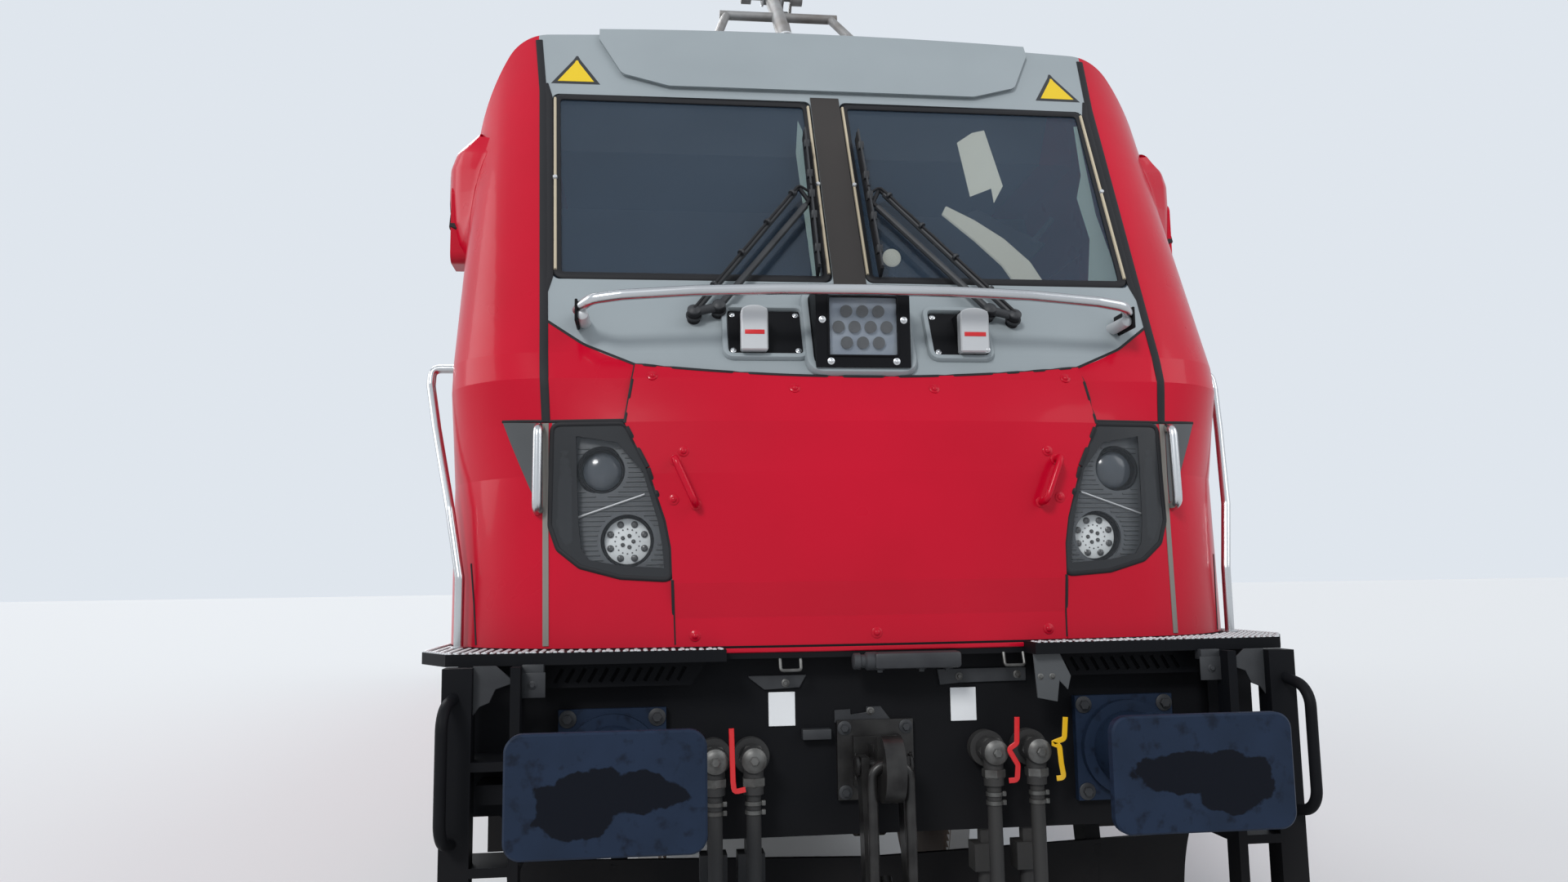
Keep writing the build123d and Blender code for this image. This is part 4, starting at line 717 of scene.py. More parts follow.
# Seams between the panels of the front, as lines of x and height, with width and rise
seamLook = {
    "mask": [(1.107, 2.228), (1.127, 2.580), (1.199, 3.745), (1.234, 4.050)],
    "maskWidth": 0.030, "maskRise": 0.004,
    "side": [(1.135, 2.730), (1.119, 2.800), (1.171, 3.710), (1.192, 3.785)], "sideWidth": 0.026,
    "lower": [(1.096, 1.470), (1.103, 1.880), (1.108, 2.222)], "lowerWidth": 0.022, "lowerRise": 0.004,
    "bib": (0.804, 2.433, 2.388), "shoulder": [(0.804, 2.433), (0.985, 2.512), (1.120, 2.610)],
    "hatchLow": [(0.673, 1.470), (0.679, 1.681)], "hatchHigh": [(0.839, 2.217), (0.804, 2.433)],
    "thinWidth": 0.010, "thinRise": 0.0025,
    "lampTop": [(0.839, 2.228), (1.100, 2.228), (1.262, 2.236)],
    "groove": [(1.348, 1.470), (1.360, 1.610), (1.377, 1.750)],
}


def buildSeams(look):
    black, grey, thin = newMeshes(3)
    addStrip(black, skinLine(cabSkin, look["mask"], 0.04), look["maskWidth"], look["maskRise"])
    addStrip(black, skinLine(maskSkin, look["side"], 0.04), look["sideWidth"], look["maskRise"])
    addStrip(grey, skinLine(cabSkin, look["lower"], 0.04), look["lowerWidth"], look["lowerRise"])
    for label in ("shoulder", "hatchLow", "hatchHigh", "lampTop", "groove"):
        addStrip(thin, skinLine(cabSkin, look[label], 0.03, bend=0.2), look["thinWidth"], look["thinRise"])
    addMirrors(black, grey, thin)
    half, edge, middle = look["bib"]
    shares = [k / 12 - 1 for k in range(25)]
    bib = [(half * share, middle + (edge - middle) * share * share) for share in shares]
    addStrip(thin, skinLine(cabSkin, bib, 0.03), look["thinWidth"], look["thinRise"])
    makePieces([
        ("maskSeams", black, "rubber", "hose_rubber"),
        ("lowerSeams", grey, "sealGrey", "lamp_plastic"),
        ("panelGaps", thin, "rubber", "hose_rubber"),
    ])


buildSeams(seamLook)
print("stage: seams")


# Lamp clusters: dark edge on the cover, ribbed bezel behind it, reflector lamp above and LED lamp below
lampLook = {
    "middle": (0.890, 1.945), "inset": 0.985, "lampGap": 0.012, "shortest": 0.012,
    "outline": [(0.839, 2.217), (0.760, 2.060), (0.700, 1.880), (0.683, 1.790), (0.679, 1.681),
                (0.851, 1.693), (0.985, 1.730), (1.060, 1.790), (1.089, 1.870), (1.086, 2.217)],
    "window": [(0.862, 2.150), (0.778, 2.050), (0.727, 1.880), (0.712, 1.795), (0.706, 1.722),
               (0.855, 1.732), (0.955, 1.752), (0.982, 1.790), (0.992, 1.870), (1.004, 2.175)],
    "borderRise": 0.0012, "gasketWidth": 0.016, "gasketRise": 0.005,
    "ribs": 26, "ribLow": 1.735, "ribHigh": 2.150, "ribThickness": 0.006,
    "round": (0.915, 2.055, 0.078), "led": (0.829, 1.815, 0.090), "lampFront": 0.664,
    "dots": 8, "dotRing": 0.062, "dotRadius": 0.0125, "innerDots": 5, "innerRing": 0.020,
    "innerRadius": 0.0075,
    "studs": 16, "studRing": 0.042,
    "diagonal": [(1.000, 1.895), (0.770, 1.972)],
}


def spanAt(outline, z):
    # How far an outline reaches to the left and right at one height
    found = []
    for (x0, z0), (x1, z1) in zip(outline, outline[1:] + outline[:1]):
        if (z0 - z) * (z1 - z) < 0:
            found.append(x0 + (x1 - x0) * (z - z0) / (z1 - z0))
    return min(found), max(found)


def buildLamps(look):
    border, gasket, bezel, shine = newMeshes(4)
    board, dots, rims, lens = newMeshes(4)
    inset = [between(look["middle"], point, look["inset"]) for point in look["outline"]]
    addBand(border, cabSkin, inset, look["window"], look["borderRise"])
    addStrip(gasket, skinLine(cabSkin, look["outline"], 0.03, loop=True, bend=0.03), look["gasketWidth"],
             look["gasketRise"], loop=True)

    # Ribs run across the bezel and stop at the lamps
    for k in range(look["ribs"]):
        z = look["ribLow"] + (look["ribHigh"] - look["ribLow"]) * k / (look["ribs"] - 1)
        spans = [spanAt(look["window"], z)]
        for x, height, radius in (look["round"], look["led"]):
            reach = radius + look["lampGap"]
            if abs(z - height) < reach:
                half = (reach ** 2 - (z - height) ** 2) ** 0.5
                spans = [part for a, b in spans for part in ((a, min(b, x - half)), (max(a, x + half), b))]
        for a, b in spans:
            if b - a > look["shortest"]:
                line = skinLine(lampFloor, [(a, z), (b, z)], 0.05)
                addStrip(bezel, line, look["ribThickness"], 0.004, sink=0.001)
    addStrip(shine, skinLine(lampFloor, look["diagonal"], 0.03), 0.007, 0.009, sink=0.001)
    for x, z, radius in (look["round"], look["led"]):
        ring = [(-0.006, radius - 0.010), (0.034, radius - 0.006), (0.040, radius + 0.001),
                (0.034, radius + 0.008), (-0.006, radius + 0.006)]
        addRevolve(rims, atEnd(x, look["lampFront"] + 0.006, z), frontWay, ring, 40, loop=True)

    # The upper lamp is a domed lens over a reflector, the lower one a white board with dark domes
    x, z, radius = look["round"]
    face = atEnd(x, look["lampFront"], z)
    radius -= 0.010
    addRevolve(lens, face, frontWay,
               [(0.001, radius), (0.010, radius * 0.96), (0.020, radius * 0.7), (0.026, radius * 0.35),
                (0.028, 0)], 40)
    x, z, radius = look["led"]
    face = atEnd(x, look["lampFront"], z)
    addRevolve(board, face, frontWay,
               [(0.0005, radius - 0.012), (0.008, radius - 0.012), (0.010, radius - 0.016)], 40)
    face = face + frontWay * 0.010
    for count, ring, size in ((look["dots"], look["dotRing"], look["dotRadius"]),
                              (look["innerDots"], look["innerRing"], look["innerRadius"])):
        for spot in circleOf(face, rightWay, upWay, ring, count, 0.5):
            addRevolve(dots, spot, frontWay,
                       [(-0.001, size), (0.003, size * 0.95), (0.006, size * 0.6), (0.007, 0)], 12)
    for spot in circleOf(face, rightWay, upWay, look["studRing"], look["studs"]):
        addRevolve(dots, spot, frontWay, [(-0.001, 0.003), (0.001, 0.003), (0.002, 0)], 6)
    addMirrors(border, gasket, bezel, shine, board, dots, rims, lens)
    makePieces([
        ("lampCoverEdges", border, "gloss", "lamp_plastic"),
        ("lampGaskets", gasket, "rubber", "hose_rubber"),
        ("lampRibs", bezel, "greyPlate", "lamp_plastic"),
        ("lampBrightLines", shine, "alloy", "lamp_plastic"),
        ("lampRims", rims, "frameBlack", "lamp_plastic"),
        ("roundLampLenses", lens, "reflector", "lamp_plastic"),
        ("ledBoards", board, "whitePlastic", "lamp_plastic"),
        ("ledDomes", dots, "darkLed", "lamp_plastic"),
    ])


lampFloor = skinOf("headlamps")
buildLamps(lampLook)
print("stage: lamps")


# Trim of the front: wedge panels outside the seam, blank yellow triangles, hatch bolts and handles
trimLook = {
    "wedge": [((1.118, 1.925), (1.124, 1.925)), ((1.118, 2.000), (1.162, 2.005)),
              ((1.119, 2.080), (1.200, 2.090)), ((1.120, 2.150), (1.232, 2.165)),
              ((1.120, 2.222), (1.258, 2.232))],
    "wedgeRise": 0.003,
    "sign": {"left": 0.962, "right": 1.168, "base": 3.790, "top": 3.958, "edge": 0.014, "rise": 0.001},
    "bolts": [(0.745, 2.388), (0.250, 2.342), (0.605, 1.497)], "middleBolt": (0, 1.497), "boltRadius": 0.011,
    "handleTop": (0.667, 2.084), "handleLow": (0.600, 1.932), "handleRise": 0.052, "handleRadius": 0.0125,
    "handleBolts": [(0.674, 1.950), (0.640, 2.115)],
}


def addSign(bmFace, bmEdge, look):
    rows = 8
    width = look["right"] - look["left"]
    middle = (look["left"] + look["right"]) / 2
    height = look["top"] - look["base"]
    for bm, shrink, rise in ((bmEdge, 0.0, look["rise"]), (bmFace, look["edge"], look["rise"] * 1.6)):
        half = width / 2 - shrink * 1.9
        low = look["base"] + shrink
        tall = height - shrink * 3
        lines = []
        for k in range(rows + 1):
            share = k / rows
            z = low + tall * share
            reach = max(half * (1 - share), 0.004)
            lines.append(((middle - reach, z), (middle + reach, z)))
        addPatch(bm, cabSkin, lines, 4, rise, sink=0.002)


def buildTrim(look):
    wedge, sign, edge, red = newMeshes(4)
    addPatch(wedge, cabSkin, look["wedge"], 6, look["wedgeRise"])
    addSign(sign, edge, look["sign"])
    for x, z in look["bolts"] + look["handleBolts"]:
        addBolt(red, *onSkin(cabSkin, x, z), look["boltRadius"], dome=True)
    top, topNormal = onSkin(cabSkin, *look["handleTop"])
    low, lowNormal = onSkin(cabSkin, *look["handleLow"])
    rise = look["handleRise"]
    grip = [top - topNormal * 0.004, top + topNormal * rise, low + lowNormal * rise, low - lowNormal * 0.004]
    addTube(red, grip, look["handleRadius"], bend=0.03, sides=12)
    for foot, normal in ((top, topNormal), (low, lowNormal)):
        addRevolve(red, foot - normal * 0.002, normal, [(0, 0.019), (0.005, 0.019), (0.008, 0.013)], 18)
    addMirrors(wedge, sign, edge, red)
    addBolt(red, *onSkin(cabSkin, *look["middleBolt"]), look["boltRadius"], dome=True)
    makePieces([
        ("lampWedges", wedge, "greyPlate", "lamp_plastic"),
        ("blankSigns", sign, "signYellow", "lamp_plastic"),
        ("signEdges", edge, "gloss", "lamp_plastic"),
        ("hatchFastenings", red, "crimson", "crimson_paint"),
    ])


buildTrim(trimLook)
print("stage: front trim")


# Lamps on the bib: casings with their red bars, frames, bolts and moulded borders, and the rail's feet
bibLook = {
    "signals": [(-0.430, -0.340, -0.473, -0.207), (0.365, 0.465, 0.275, 0.475)],
    "signalLow": 2.485, "signalHigh": 2.635, "signalFront": 0.640, "barLow": 2.540, "barHigh": 2.556,
    "plateLow": 2.475, "plateHigh": 2.655, "plateBolt": 0.016, "boltRadius": 0.0065,
    "headlight": {"half": 0.170, "low": 2.420, "high": 2.715, "front": 0.612, "windowHalf": 0.125,
                  "windowLow": 2.460, "windowHigh": 2.675, "borderGap": 0.016, "border": 0.036,
                  "borderRise": 0.030, "bolts": [(0.118, 2.695), (0.147, 2.590), (0.118, 2.440)],
                  "boltRadius": 0.0075},
    "border": 0.024, "borderRise": 0.020, "borderGap": 0.012,
    "railFootX": 1.000, "railFootDepth": 0.650, "railFootLow": 2.572, "railFootHigh": 2.652,
}


def outlineOf(left, right, low, high, gap):
    # The corners of an upright rectangle, each side moved outward by a gap
    left, right, low, high = left - gap, right + gap, low - gap, high + gap
    return [(left, low), (right, low), (right, high), (left, high)]


def addCasing(bm, x0, x1, look):
    # The lamp's box with a rounded top, seen from in front, and rounded edges
    half = (x1 - x0) / 2 + 0.003
    low, high = look["signalLow"] - 0.002, look["signalHigh"] + 0.012
    points = [(-half, low), (half, low)]
    for k in range(9):
        turn = pi * k / 8
        points.append((half * cos(turn), high - 0.022 + 0.022 * sin(turn)))
    place = atEnd((x0 + x1) / 2, look["signalFront"] + 0.045, 0)
    addPlate(bm, points, place, 0.050, bevel=0.005)


def buildBib(look):
    casing, bars, frames, bolts = newMeshes(4)
    mould, lens = newMeshes(2)
    for x0, x1, plate0, plate1 in look["signals"]:
        addCasing(casing, x0, x1, look)
        front = look["signalFront"] - 0.0065
        addBox(bars, endPlace, (x0 + 0.010, x1 - 0.010), (front, front + 0.004),
               (look["barLow"], look["barHigh"]), 0.001)
        inset = look["plateBolt"]
        for x in (plate0 + inset, plate1 - inset):
            for z in (look["plateLow"] + inset, look["plateHigh"] - inset):
                addBolt(bolts, *onSkin(bibSkin, x, z), look["boltRadius"], dome=True)
        ring = outlineOf(plate0, plate1, look["plateLow"], look["plateHigh"], look["borderGap"])
        line = skinLine(maskSkin, ring, 0.02, loop=True, bend=0.03)
        addStrip(mould, line, look["border"], look["borderRise"], loop=True)
    light = look["headlight"]
    half, front = light["half"], light["front"]
    ring = outlineOf(-half, half, light["low"], light["high"], light["borderGap"])
    line = skinLine(maskSkin, ring, 0.02, loop=True, bend=0.05)
    addStrip(mould, line, light["border"], light["borderRise"], loop=True)
    for x, z in light["bolts"]:
        for side in (-x, x):
            addBolt(bolts, atEnd(side, front, z), frontWay, light["boltRadius"], dome=True)
    low, high, window = light["windowLow"], light["windowHigh"], light["windowHalf"]
    rim = [atEnd(x, front - 0.001, z) for x, z in outlineOf(-window, window, low, high, 0)]
    addTube(frames, rim + rim[:1], 0.004, bend=0.012, sides=8)
    (left, low), _, (right, high), _ = outlineOf(-window, window, low, high, -0.002)
    addBox(lens, endPlace, (left, right), (front + 0.004, front + 0.007), (low, high), 0.001)
    for x in (-look["railFootX"], look["railFootX"]):
        lean = 0.006 if x > 0 else -0.006
        place = onSkin(maskSkin, x * 0.985, 2.600)[0]
        addBlock(frames, atEnd(x - 0.005 + lean, look["railFootDepth"] - 0.045, look["railFootLow"]),
                 Vector((x + 0.005 + lean, place.y + 0.02, look["railFootHigh"])), 0.004)
        tip = atEnd(x * 0.985, look["railFootDepth"] - 0.035, 2.600)
        addRevolve(casing, tip, -frontWay,
                   [(0, 0), (0.001, 0.012), (0.006, 0.019), (0.030, 0.021), ((place - tip).y + 0.02, 0.023)],
                   20)
    makePieces([
        ("signalCasings", casing, "alloy", "rail_steel"),
        ("signalBars", bars, "redPaint", "lamp_plastic"),
        ("lampFrames", frames, "frameBlack", "frame_paint"),
        ("bibBolts", bolts, "stainless", "rail_steel"),
        ("bibMouldings", mould, "hoodGrey", "grey_paint"),
        ("headlightPanes", lens, "cover", "clear_cover"),
    ])


bibSkin = skinOf("cab_masks", "headlamps")
buildBib(bibLook)
print("stage: bib")


# Ends below the deck: step plates, lip, brackets, blank plates, hooks, hoses and buffers
deckLook = {
    "plateTop": deckTop - 0.004, "domesFrom": (0.528, 0.418), "rows": (33, 27), "pitch": 0.030,
    "domeTests": ((0, 0), (0.018, 0), (0, 0.018), (-0.014, 0), (0, -0.014)),
    "domeRadius": 0.0080, "domeRise": 0.0035,
    "edge": [(0.515, 0.400), (1.391, 0.440), (1.496, 0.620), (1.496, 1.185)], "toothPitch": 0.022,
    "toothRadius": 0.0075, "lipHalf": 0.508, "lipHeight": 1.447, "lipWidth": 0.015, "lipRise": 0.006,
    "blockLow": (-0.020, 0.440, 1.380), "blockHigh": (0.272, 0.510, 1.434), "blockFeet": (0.02, 0.16, 0.25),
    "blockPlug": [(0, 0.030), (0.034, 0.030), (0.040, 0.022), (0.052, 0.022), (0.056, 0.027), (0.076, 0.027),
                  (0.080, 0.020)],
    "loopX": (-0.292, 0.470), "loopDepths": (0.515, 0.500), "loopHeight": 1.422, "loopHalf": 0.034,
    "loopDrop": 0.042, "loopRadius": 0.0055,
}


def onPlate(x, depth, top):
    # The place on a step plate below a point, or None beside the plates
    spot = deckSkin.ray_cast(atEnd(x, depth, 1.9), -upWay)[0]
    return spot if spot and abs(spot.z - top) < 0.001 else None


def buildDeck(look):
    domes, teeth, lip, loops, block = newMeshes(5)
    top, pitch = look["plateTop"], look["pitch"]
    radius, rise = look["domeRadius"], look["domeRise"]
    dome = [(-0.001, radius), (rise * 0.7, radius * 0.75), (rise, radius * 0.4), (rise * 0.2, 0)]
    for i in range(look["rows"][0]):
        for j in range(look["rows"][1]):
            x = look["domesFrom"][0] + i * pitch
            depth = look["domesFrom"][1] + j * pitch + (pitch / 2 if i % 2 else 0)
            spots = [onPlate(x + a, depth + b, top) for a, b in look["domeTests"]]
            if all(spots):
                addRevolve(domes, spots[0], upWay, dome, 8)
    r = look["toothRadius"]
    tooth = [(-0.002, r), (0.003, r * 0.9), (0.0055, r * 0.5), (0.006, 0)]
    for start, end in zip(look["edge"], look["edge"][1:]):
        a, b = atEnd(*start, top), atEnd(*end, top)
        count = round((b - a).length / look["toothPitch"])
        inward = Vector((a.y - b.y, b.x - a.x, 0)).normalized() * 0.009
        for k in range(count):
            addRevolve(teeth, a.lerp(b, (k + 0.5) / count) + inward, upWay, tooth, 8)
    addMirrors(domes, teeth)
    half = look["lipHalf"]
    line = skinLine(frameSkin, [(-half, look["lipHeight"]), (half, look["lipHeight"])], 0.05)
    addStrip(lip, line, look["lipWidth"], look["lipRise"])
    half, drop, top = look["loopHalf"], look["loopDrop"], look["loopHeight"]
    back, front = look["loopDepths"]
    for x in look["loopX"]:
        hoop = [(x - half, back, top), (x - half, front, top - drop), (x + half, front, top - drop),
                (x + half, back, top)]
        hoop = endPoints(hoop)
        addTube(loops, hoop, look["loopRadius"], bend=0.010, sides=8)
    addBlock(block, atEnd(*look["blockLow"]), atEnd(*look["blockHigh"]), 0.011)
    x, depth, z = look["blockLow"]
    addRevolve(block, atEnd(x + 0.01, depth + 0.035, z + 0.026), -rightWay, look["blockPlug"], 20)
    for foot in look["blockFeet"]:
        addBolt(block, atEnd(x + foot, depth + 0.03, z), -upWay, 0.010)
    makePieces([
        ("stepDomes", domes, "alloy", "rail_steel"),
        ("stepTeeth", teeth, "alloy", "rail_steel"),
        ("deckLip", lip, "crimson", "crimson_paint"),
        ("deckLoops", loops, "fitting", "frame_paint"),
        ("deckLampBlock", block, "darkMetal", "frame_paint"),
    ])


bracketLook = {
    "plateHalf": 0.045, "plateLow": 1.190, "plateHigh": 1.302, "plateX": (-0.313, 0.313),
    "plateDepth": 0.598,
    "leftBracket": [(-0.425, 1.358), (-0.425, 1.352), (-0.372, 1.311), (-0.252, 1.316), (-0.228, 1.358)],
    "rightBracket": [(0.224, 1.366), (0.232, 1.312), (0.300, 1.318), (0.537, 1.320), (0.537, 1.366),
                     (0.440, 1.366)],
    "notch": [(-0.135, 1.196), (0.062, 1.196), (0.024, 1.247), (-0.026, 1.247), (-0.026, 1.228),
              (-0.080, 1.222), (-0.080, 1.240), (-0.135, 1.238)],
    "bolts": [(-0.300, 1.332), (0.300, 1.340), (0.505, 1.342), (-0.012, 1.232)],
    "flap": [(0.512, 1.424), (0.603, 1.424), (0.640, 1.345), (0.628, 1.300), (0.600, 1.330), (0.590, 1.262),
             (0.522, 1.276)],
    "gusset": [(1.297, 1.424), (1.297, 1.272), (1.276, 1.300), (1.246, 1.312), (1.228, 1.352),
               (1.168, 1.372), (1.228, 1.424)],
    "square": (1.078, 1.157, 1.322, 1.400), "squareDepth": 0.400, "flapDepth": 0.440, "gussetDepth": 0.392,
    "boltRadius": 0.008,
    "flapBolts": [(0.535, 0.434, 1.345), (0.575, 0.434, 1.345)],
    "stub": ((-0.248, -0.151), (0.560, 0.603), (1.146, 1.180)),
}


def buildBrackets(look):
    plates, grey, bolts, flap = newMeshes(4)
    half, depth = look["plateHalf"], look["plateDepth"]
    for x in look["plateX"]:
        outline = outlineOf(-half, half, look["plateLow"], look["plateHigh"], 0)
        addPlate(plates, outline, atEnd(x, depth, 0), 0.005)
    for label in ("leftBracket", "rightBracket", "notch"):
        addPlate(grey, look[label], atEnd(0, depth + 0.004, 0), 0.012)
    addBox(grey, endPlace, *look["stub"], 0.003)
    for x, z in look["bolts"]:
        addBolt(bolts, atEnd(x, depth - 0.008, z), frontWay, look["boltRadius"])
    addPlate(flap, look["flap"], atEnd(0, look["flapDepth"], 0), 0.006)
    for spot in look["flapBolts"]:
        addBolt(bolts, atEnd(*spot), frontWay, 0.006)
    hung = bmesh.new()
    addPlate(hung, look["gusset"], atEnd(0, look["gussetDepth"], 0), 0.008)
    x0, x1, z0, z1 = look["square"]
    depth = look["squareDepth"]
    addBox(hung, endPlace, (x0, x1), (depth, depth + 0.006), (z0, z1), 0.002)
    addBox(hung, endPlace, (x0 + 0.006, x1 - 0.006), (depth + 0.003, depth + 0.05), (z1 - 0.010, z1 + 0.024),
           0.003)
    addBolt(hung, atEnd((x0 + x1) / 2, depth, (z0 + z1) / 2), frontWay, 0.008)
    addMirrors(hung)
    makePieces([
        ("blankPlates", plates, "whitePlate", "lamp_plastic"),
        ("headstockBrackets", grey, "darkMetal", "frame_paint"),
        ("headstockBolts", bolts, "fitting", "rail_steel"),
        ("cornerFlap", flap, "greyPlate", "hose_rubber"),
        ("ladderBrackets", hung, "darkMetal", "frame_paint"),
    ])


# Hoses: places across, and the cocks' handles, whose bars rise from a bent foot
hoseLook = {
    "places": (-0.545, -0.420, 0.382, 0.530), "cockHeight": 1.100, "cockFront": 0.462, "hoseDepth": 0.500,
    "hoseRadius": 0.024, "clampHeights": (0.968, 0.940), "neckFoot": 0.990,
    "redLeft": [(-0.450, 0.458, 1.012), (-0.486, 0.452, 1.006), (-0.490, 0.450, 1.040),
                (-0.494, 0.450, 1.205)],
    "redRight": [(0.420, 0.456, 1.010), (0.446, 0.450, 1.012), (0.450, 0.448, 1.060), (0.420, 0.448, 1.112),
                 (0.448, 0.446, 1.130), (0.452, 0.446, 1.215)],
    "yellow": [(0.582, 0.454, 1.012), (0.606, 0.450, 1.014), (0.598, 0.448, 1.060), (0.594, 0.448, 1.118),
               (0.566, 0.448, 1.126), (0.612, 0.448, 1.140), (0.618, 0.446, 1.210)],
    "barWidth": 0.017, "barThickness": 0.006,
}


barShape = [(-1, -0.6), (-0.8, -1), (0.8, -1), (1, -0.6), (1, 0.6), (0.8, 1), (-0.8, 1), (-1, 0.6)]


def addBar(bm, points, width, thickness):
    # A flat bar bent along its points, its flat side to the front
    path = roundedPath(endPoints(points), 0.012, 3)
    rings = []
    for i, place in enumerate(path):
        ahead = (path[min(i + 1, len(path) - 1)] - path[max(i - 1, 0)]).normalized()
        side = ahead.cross(-frontWay).normalized()
        deep = ahead.cross(side).normalized()
        rings.append([place + side * a * width / 2 + deep * b * thickness / 2 for a, b in barShape])
    addRings(bm, rings)


def buildHoses(look):
    red, yellow, metal = newMeshes(3)
    for label, bm in (("redLeft", red), ("redRight", red), ("yellow", yellow)):
        addBar(bm, look[label], look["barWidth"], look["barThickness"])
    radius = look["hoseRadius"]
    for x in look["places"]:
        cock = atEnd(x, look["cockFront"], look["cockHeight"])
        addRevolve(metal, cock - frontWay * 0.002, frontWay,
                   [(0, 0.040), (0.006, 0.040), (0.010, 0.034), (0.016, 0.024)], 24)
        addRevolve(metal, cock - frontWay * 0.004, frontWay, [(0, 0.016), (0.030, 0.016), (0.034, 0.012)], 6)
        addRing(metal, cock - frontWay * 0.050, frontWay, 0.0425, 0.047, 0.014, 6)
        neck = atEnd(x, look["hoseDepth"], look["neckFoot"] + 0.052)
        addRevolve(metal, neck, -upWay, [(0, 0.034), (0, 0.040), (0.024, 0.040), (0.030, 0.034)], 6,
                   loop=True)
        for height in look["clampHeights"]:
            place = atEnd(x, look["hoseDepth"], height)
            addRing(metal, place, -upWay, radius, radius + 0.0045, 0.012, 28)
            addBox(metal, place, (radius + 0.001, radius + 0.014), (-0.012, 0.004), (-0.014, 0.002), 0.002)
    makePieces([
        ("cockHandlesRed", red, "redPaint", "lamp_plastic"),
        ("cockHandleYellow", yellow, "yellowPaint", "lamp_plastic"),
        ("hoseFittings", metal, "fitting", "rail_steel"),
    ])


# Buffers and draw gear: bolts, rings and the threads of the screw
drawLook = {
    "bufferX": 0.875, "bufferHeight": 1.090, "flangeBolt": 0.145, "flangeFront": 0.570, "boltRadius": 0.017,
    "ringDepths": (0.060, 0.110, 0.210, 0.240), "barrel": 0.100,
    "hookPlate": 0.105, "hookPlateFront": 0.575, "hookHeight": 1.075,
    "screwTop": (0, 0.470, 0.715), "screwFoot": (0, 0.262, 0.455), "screwRadius": 0.023,
    "pinX": 0.086, "pin": (0.450, 1.075),
}


def buildDrawGear(look):
    rings, bolts, greasy = newMeshes(3)
    x, z = look["bufferX"], look["bufferHeight"]
    for a in (-1, 1):
        for b in (-1, 1):
            spot = atEnd(x + a * look["flangeBolt"], look["flangeFront"], z + b * look["flangeBolt"])
            addBolt(bolts, spot, frontWay, look["boltRadius"])
    barrel = look["barrel"]
    for depth in look["ringDepths"]:
        addRing(rings, atEnd(x, depth, z), -frontWay, barrel - 0.002, barrel + 0.006, 0.018, 40, 0.004)
    addMirrors(rings, bolts)
    half = look["hookPlate"]
    for a in (-half, half):
        for b in (-half, half):
            addBolt(bolts, atEnd(a, look["hookPlateFront"], look["hookHeight"] + b), frontWay, 0.014)
    top, foot = atEnd(*look["screwTop"]), atEnd(*look["screwFoot"])
    axis = foot - top
    length = axis.length
    radius = look["screwRadius"]
    count = round(length / 0.009)
    for k in range(2, count - 1):
        place = top + axis * (k / count)
        addRing(greasy, place, axis, radius - 0.001, radius + 0.0035, 0.0075, 20, 0.003)
    depth, z = look["pin"]
    for side in (-1, 1):
        end = atEnd(side * look["pinX"], depth, z)
        across = rightWay * side
        addRevolve(greasy, end - across * 0.002, across,
                   [(0, 0.034), (0.008, 0.034), (0.012, 0.028), (0.016, 0.012)], 24)
        spot = end + across * 0.005
        addRod(greasy, spot + upWay * 0.040, spot - upWay * 0.046, 0.0045, 0.001, 8)
    makePieces([
        ("bufferRings", rings, "greasySteel", "frame_paint"),
        ("endBolts", bolts, "darkMetal", "frame_paint"),
        ("couplingThreads", greasy, "greasySteel", "frame_paint"),
    ])


deckSkin = skinOf("end_steps", "cab_shells", "nose_hatches", "main_frame")
frameSkin = skinOf("main_frame")
buildDeck(deckLook)
buildBrackets(bracketLook)
buildHoses(hoseLook)
buildDrawGear(drawLook)
print("stage: below the deck")


# Rails, drawn whole: tubes with ring feet, and the long rail across the bib
railLook = {
    "radius": 0.017, "bend": 0.040,
    "corner": [(1.470, 1.180, 2.509), (1.588, 1.180, 2.509), (1.588, 1.160, 2.440), (1.545, 1.060, 2.260),
               (1.460, 0.880, 1.945), (1.412, 0.820, 1.700), (1.412, 0.820, 1.457)],
    "lamp": [(1.130, 0.664, 1.919), (1.130, 0.600, 1.930), (1.130, 0.612, 2.200), (1.130, 0.690, 2.214)],
    "lampBend": 0.030,
    "doorDepths": (2.080, 2.875), "doorReach": 1.560, "doorSpan": (1.500, 3.100), "doorBend": 0.050,
    "bib": [(-1.004, 0.660, 2.624), (-0.990, 0.620, 2.628), (-0.950, 0.565, 2.640), (-0.850, 0.556, 2.653),
            (-0.600, 0.550, 2.671), (-0.300, 0.545, 2.680), (0, 0.543, 2.682)],
    "bibRadius": 0.019, "bibBend": 0.05, "ringRadius": 0.030,
}


def addFoot(bm, place, axis, inner, outer):
    # The ring that a rail's end stands in
    profile = [(0, inner - 0.001), (0, outer), (0.005, outer), (0.008, outer - 0.004),
               (0.008, inner - 0.001)]
    addRevolve(bm, place, axis, profile, 24, loop=True)


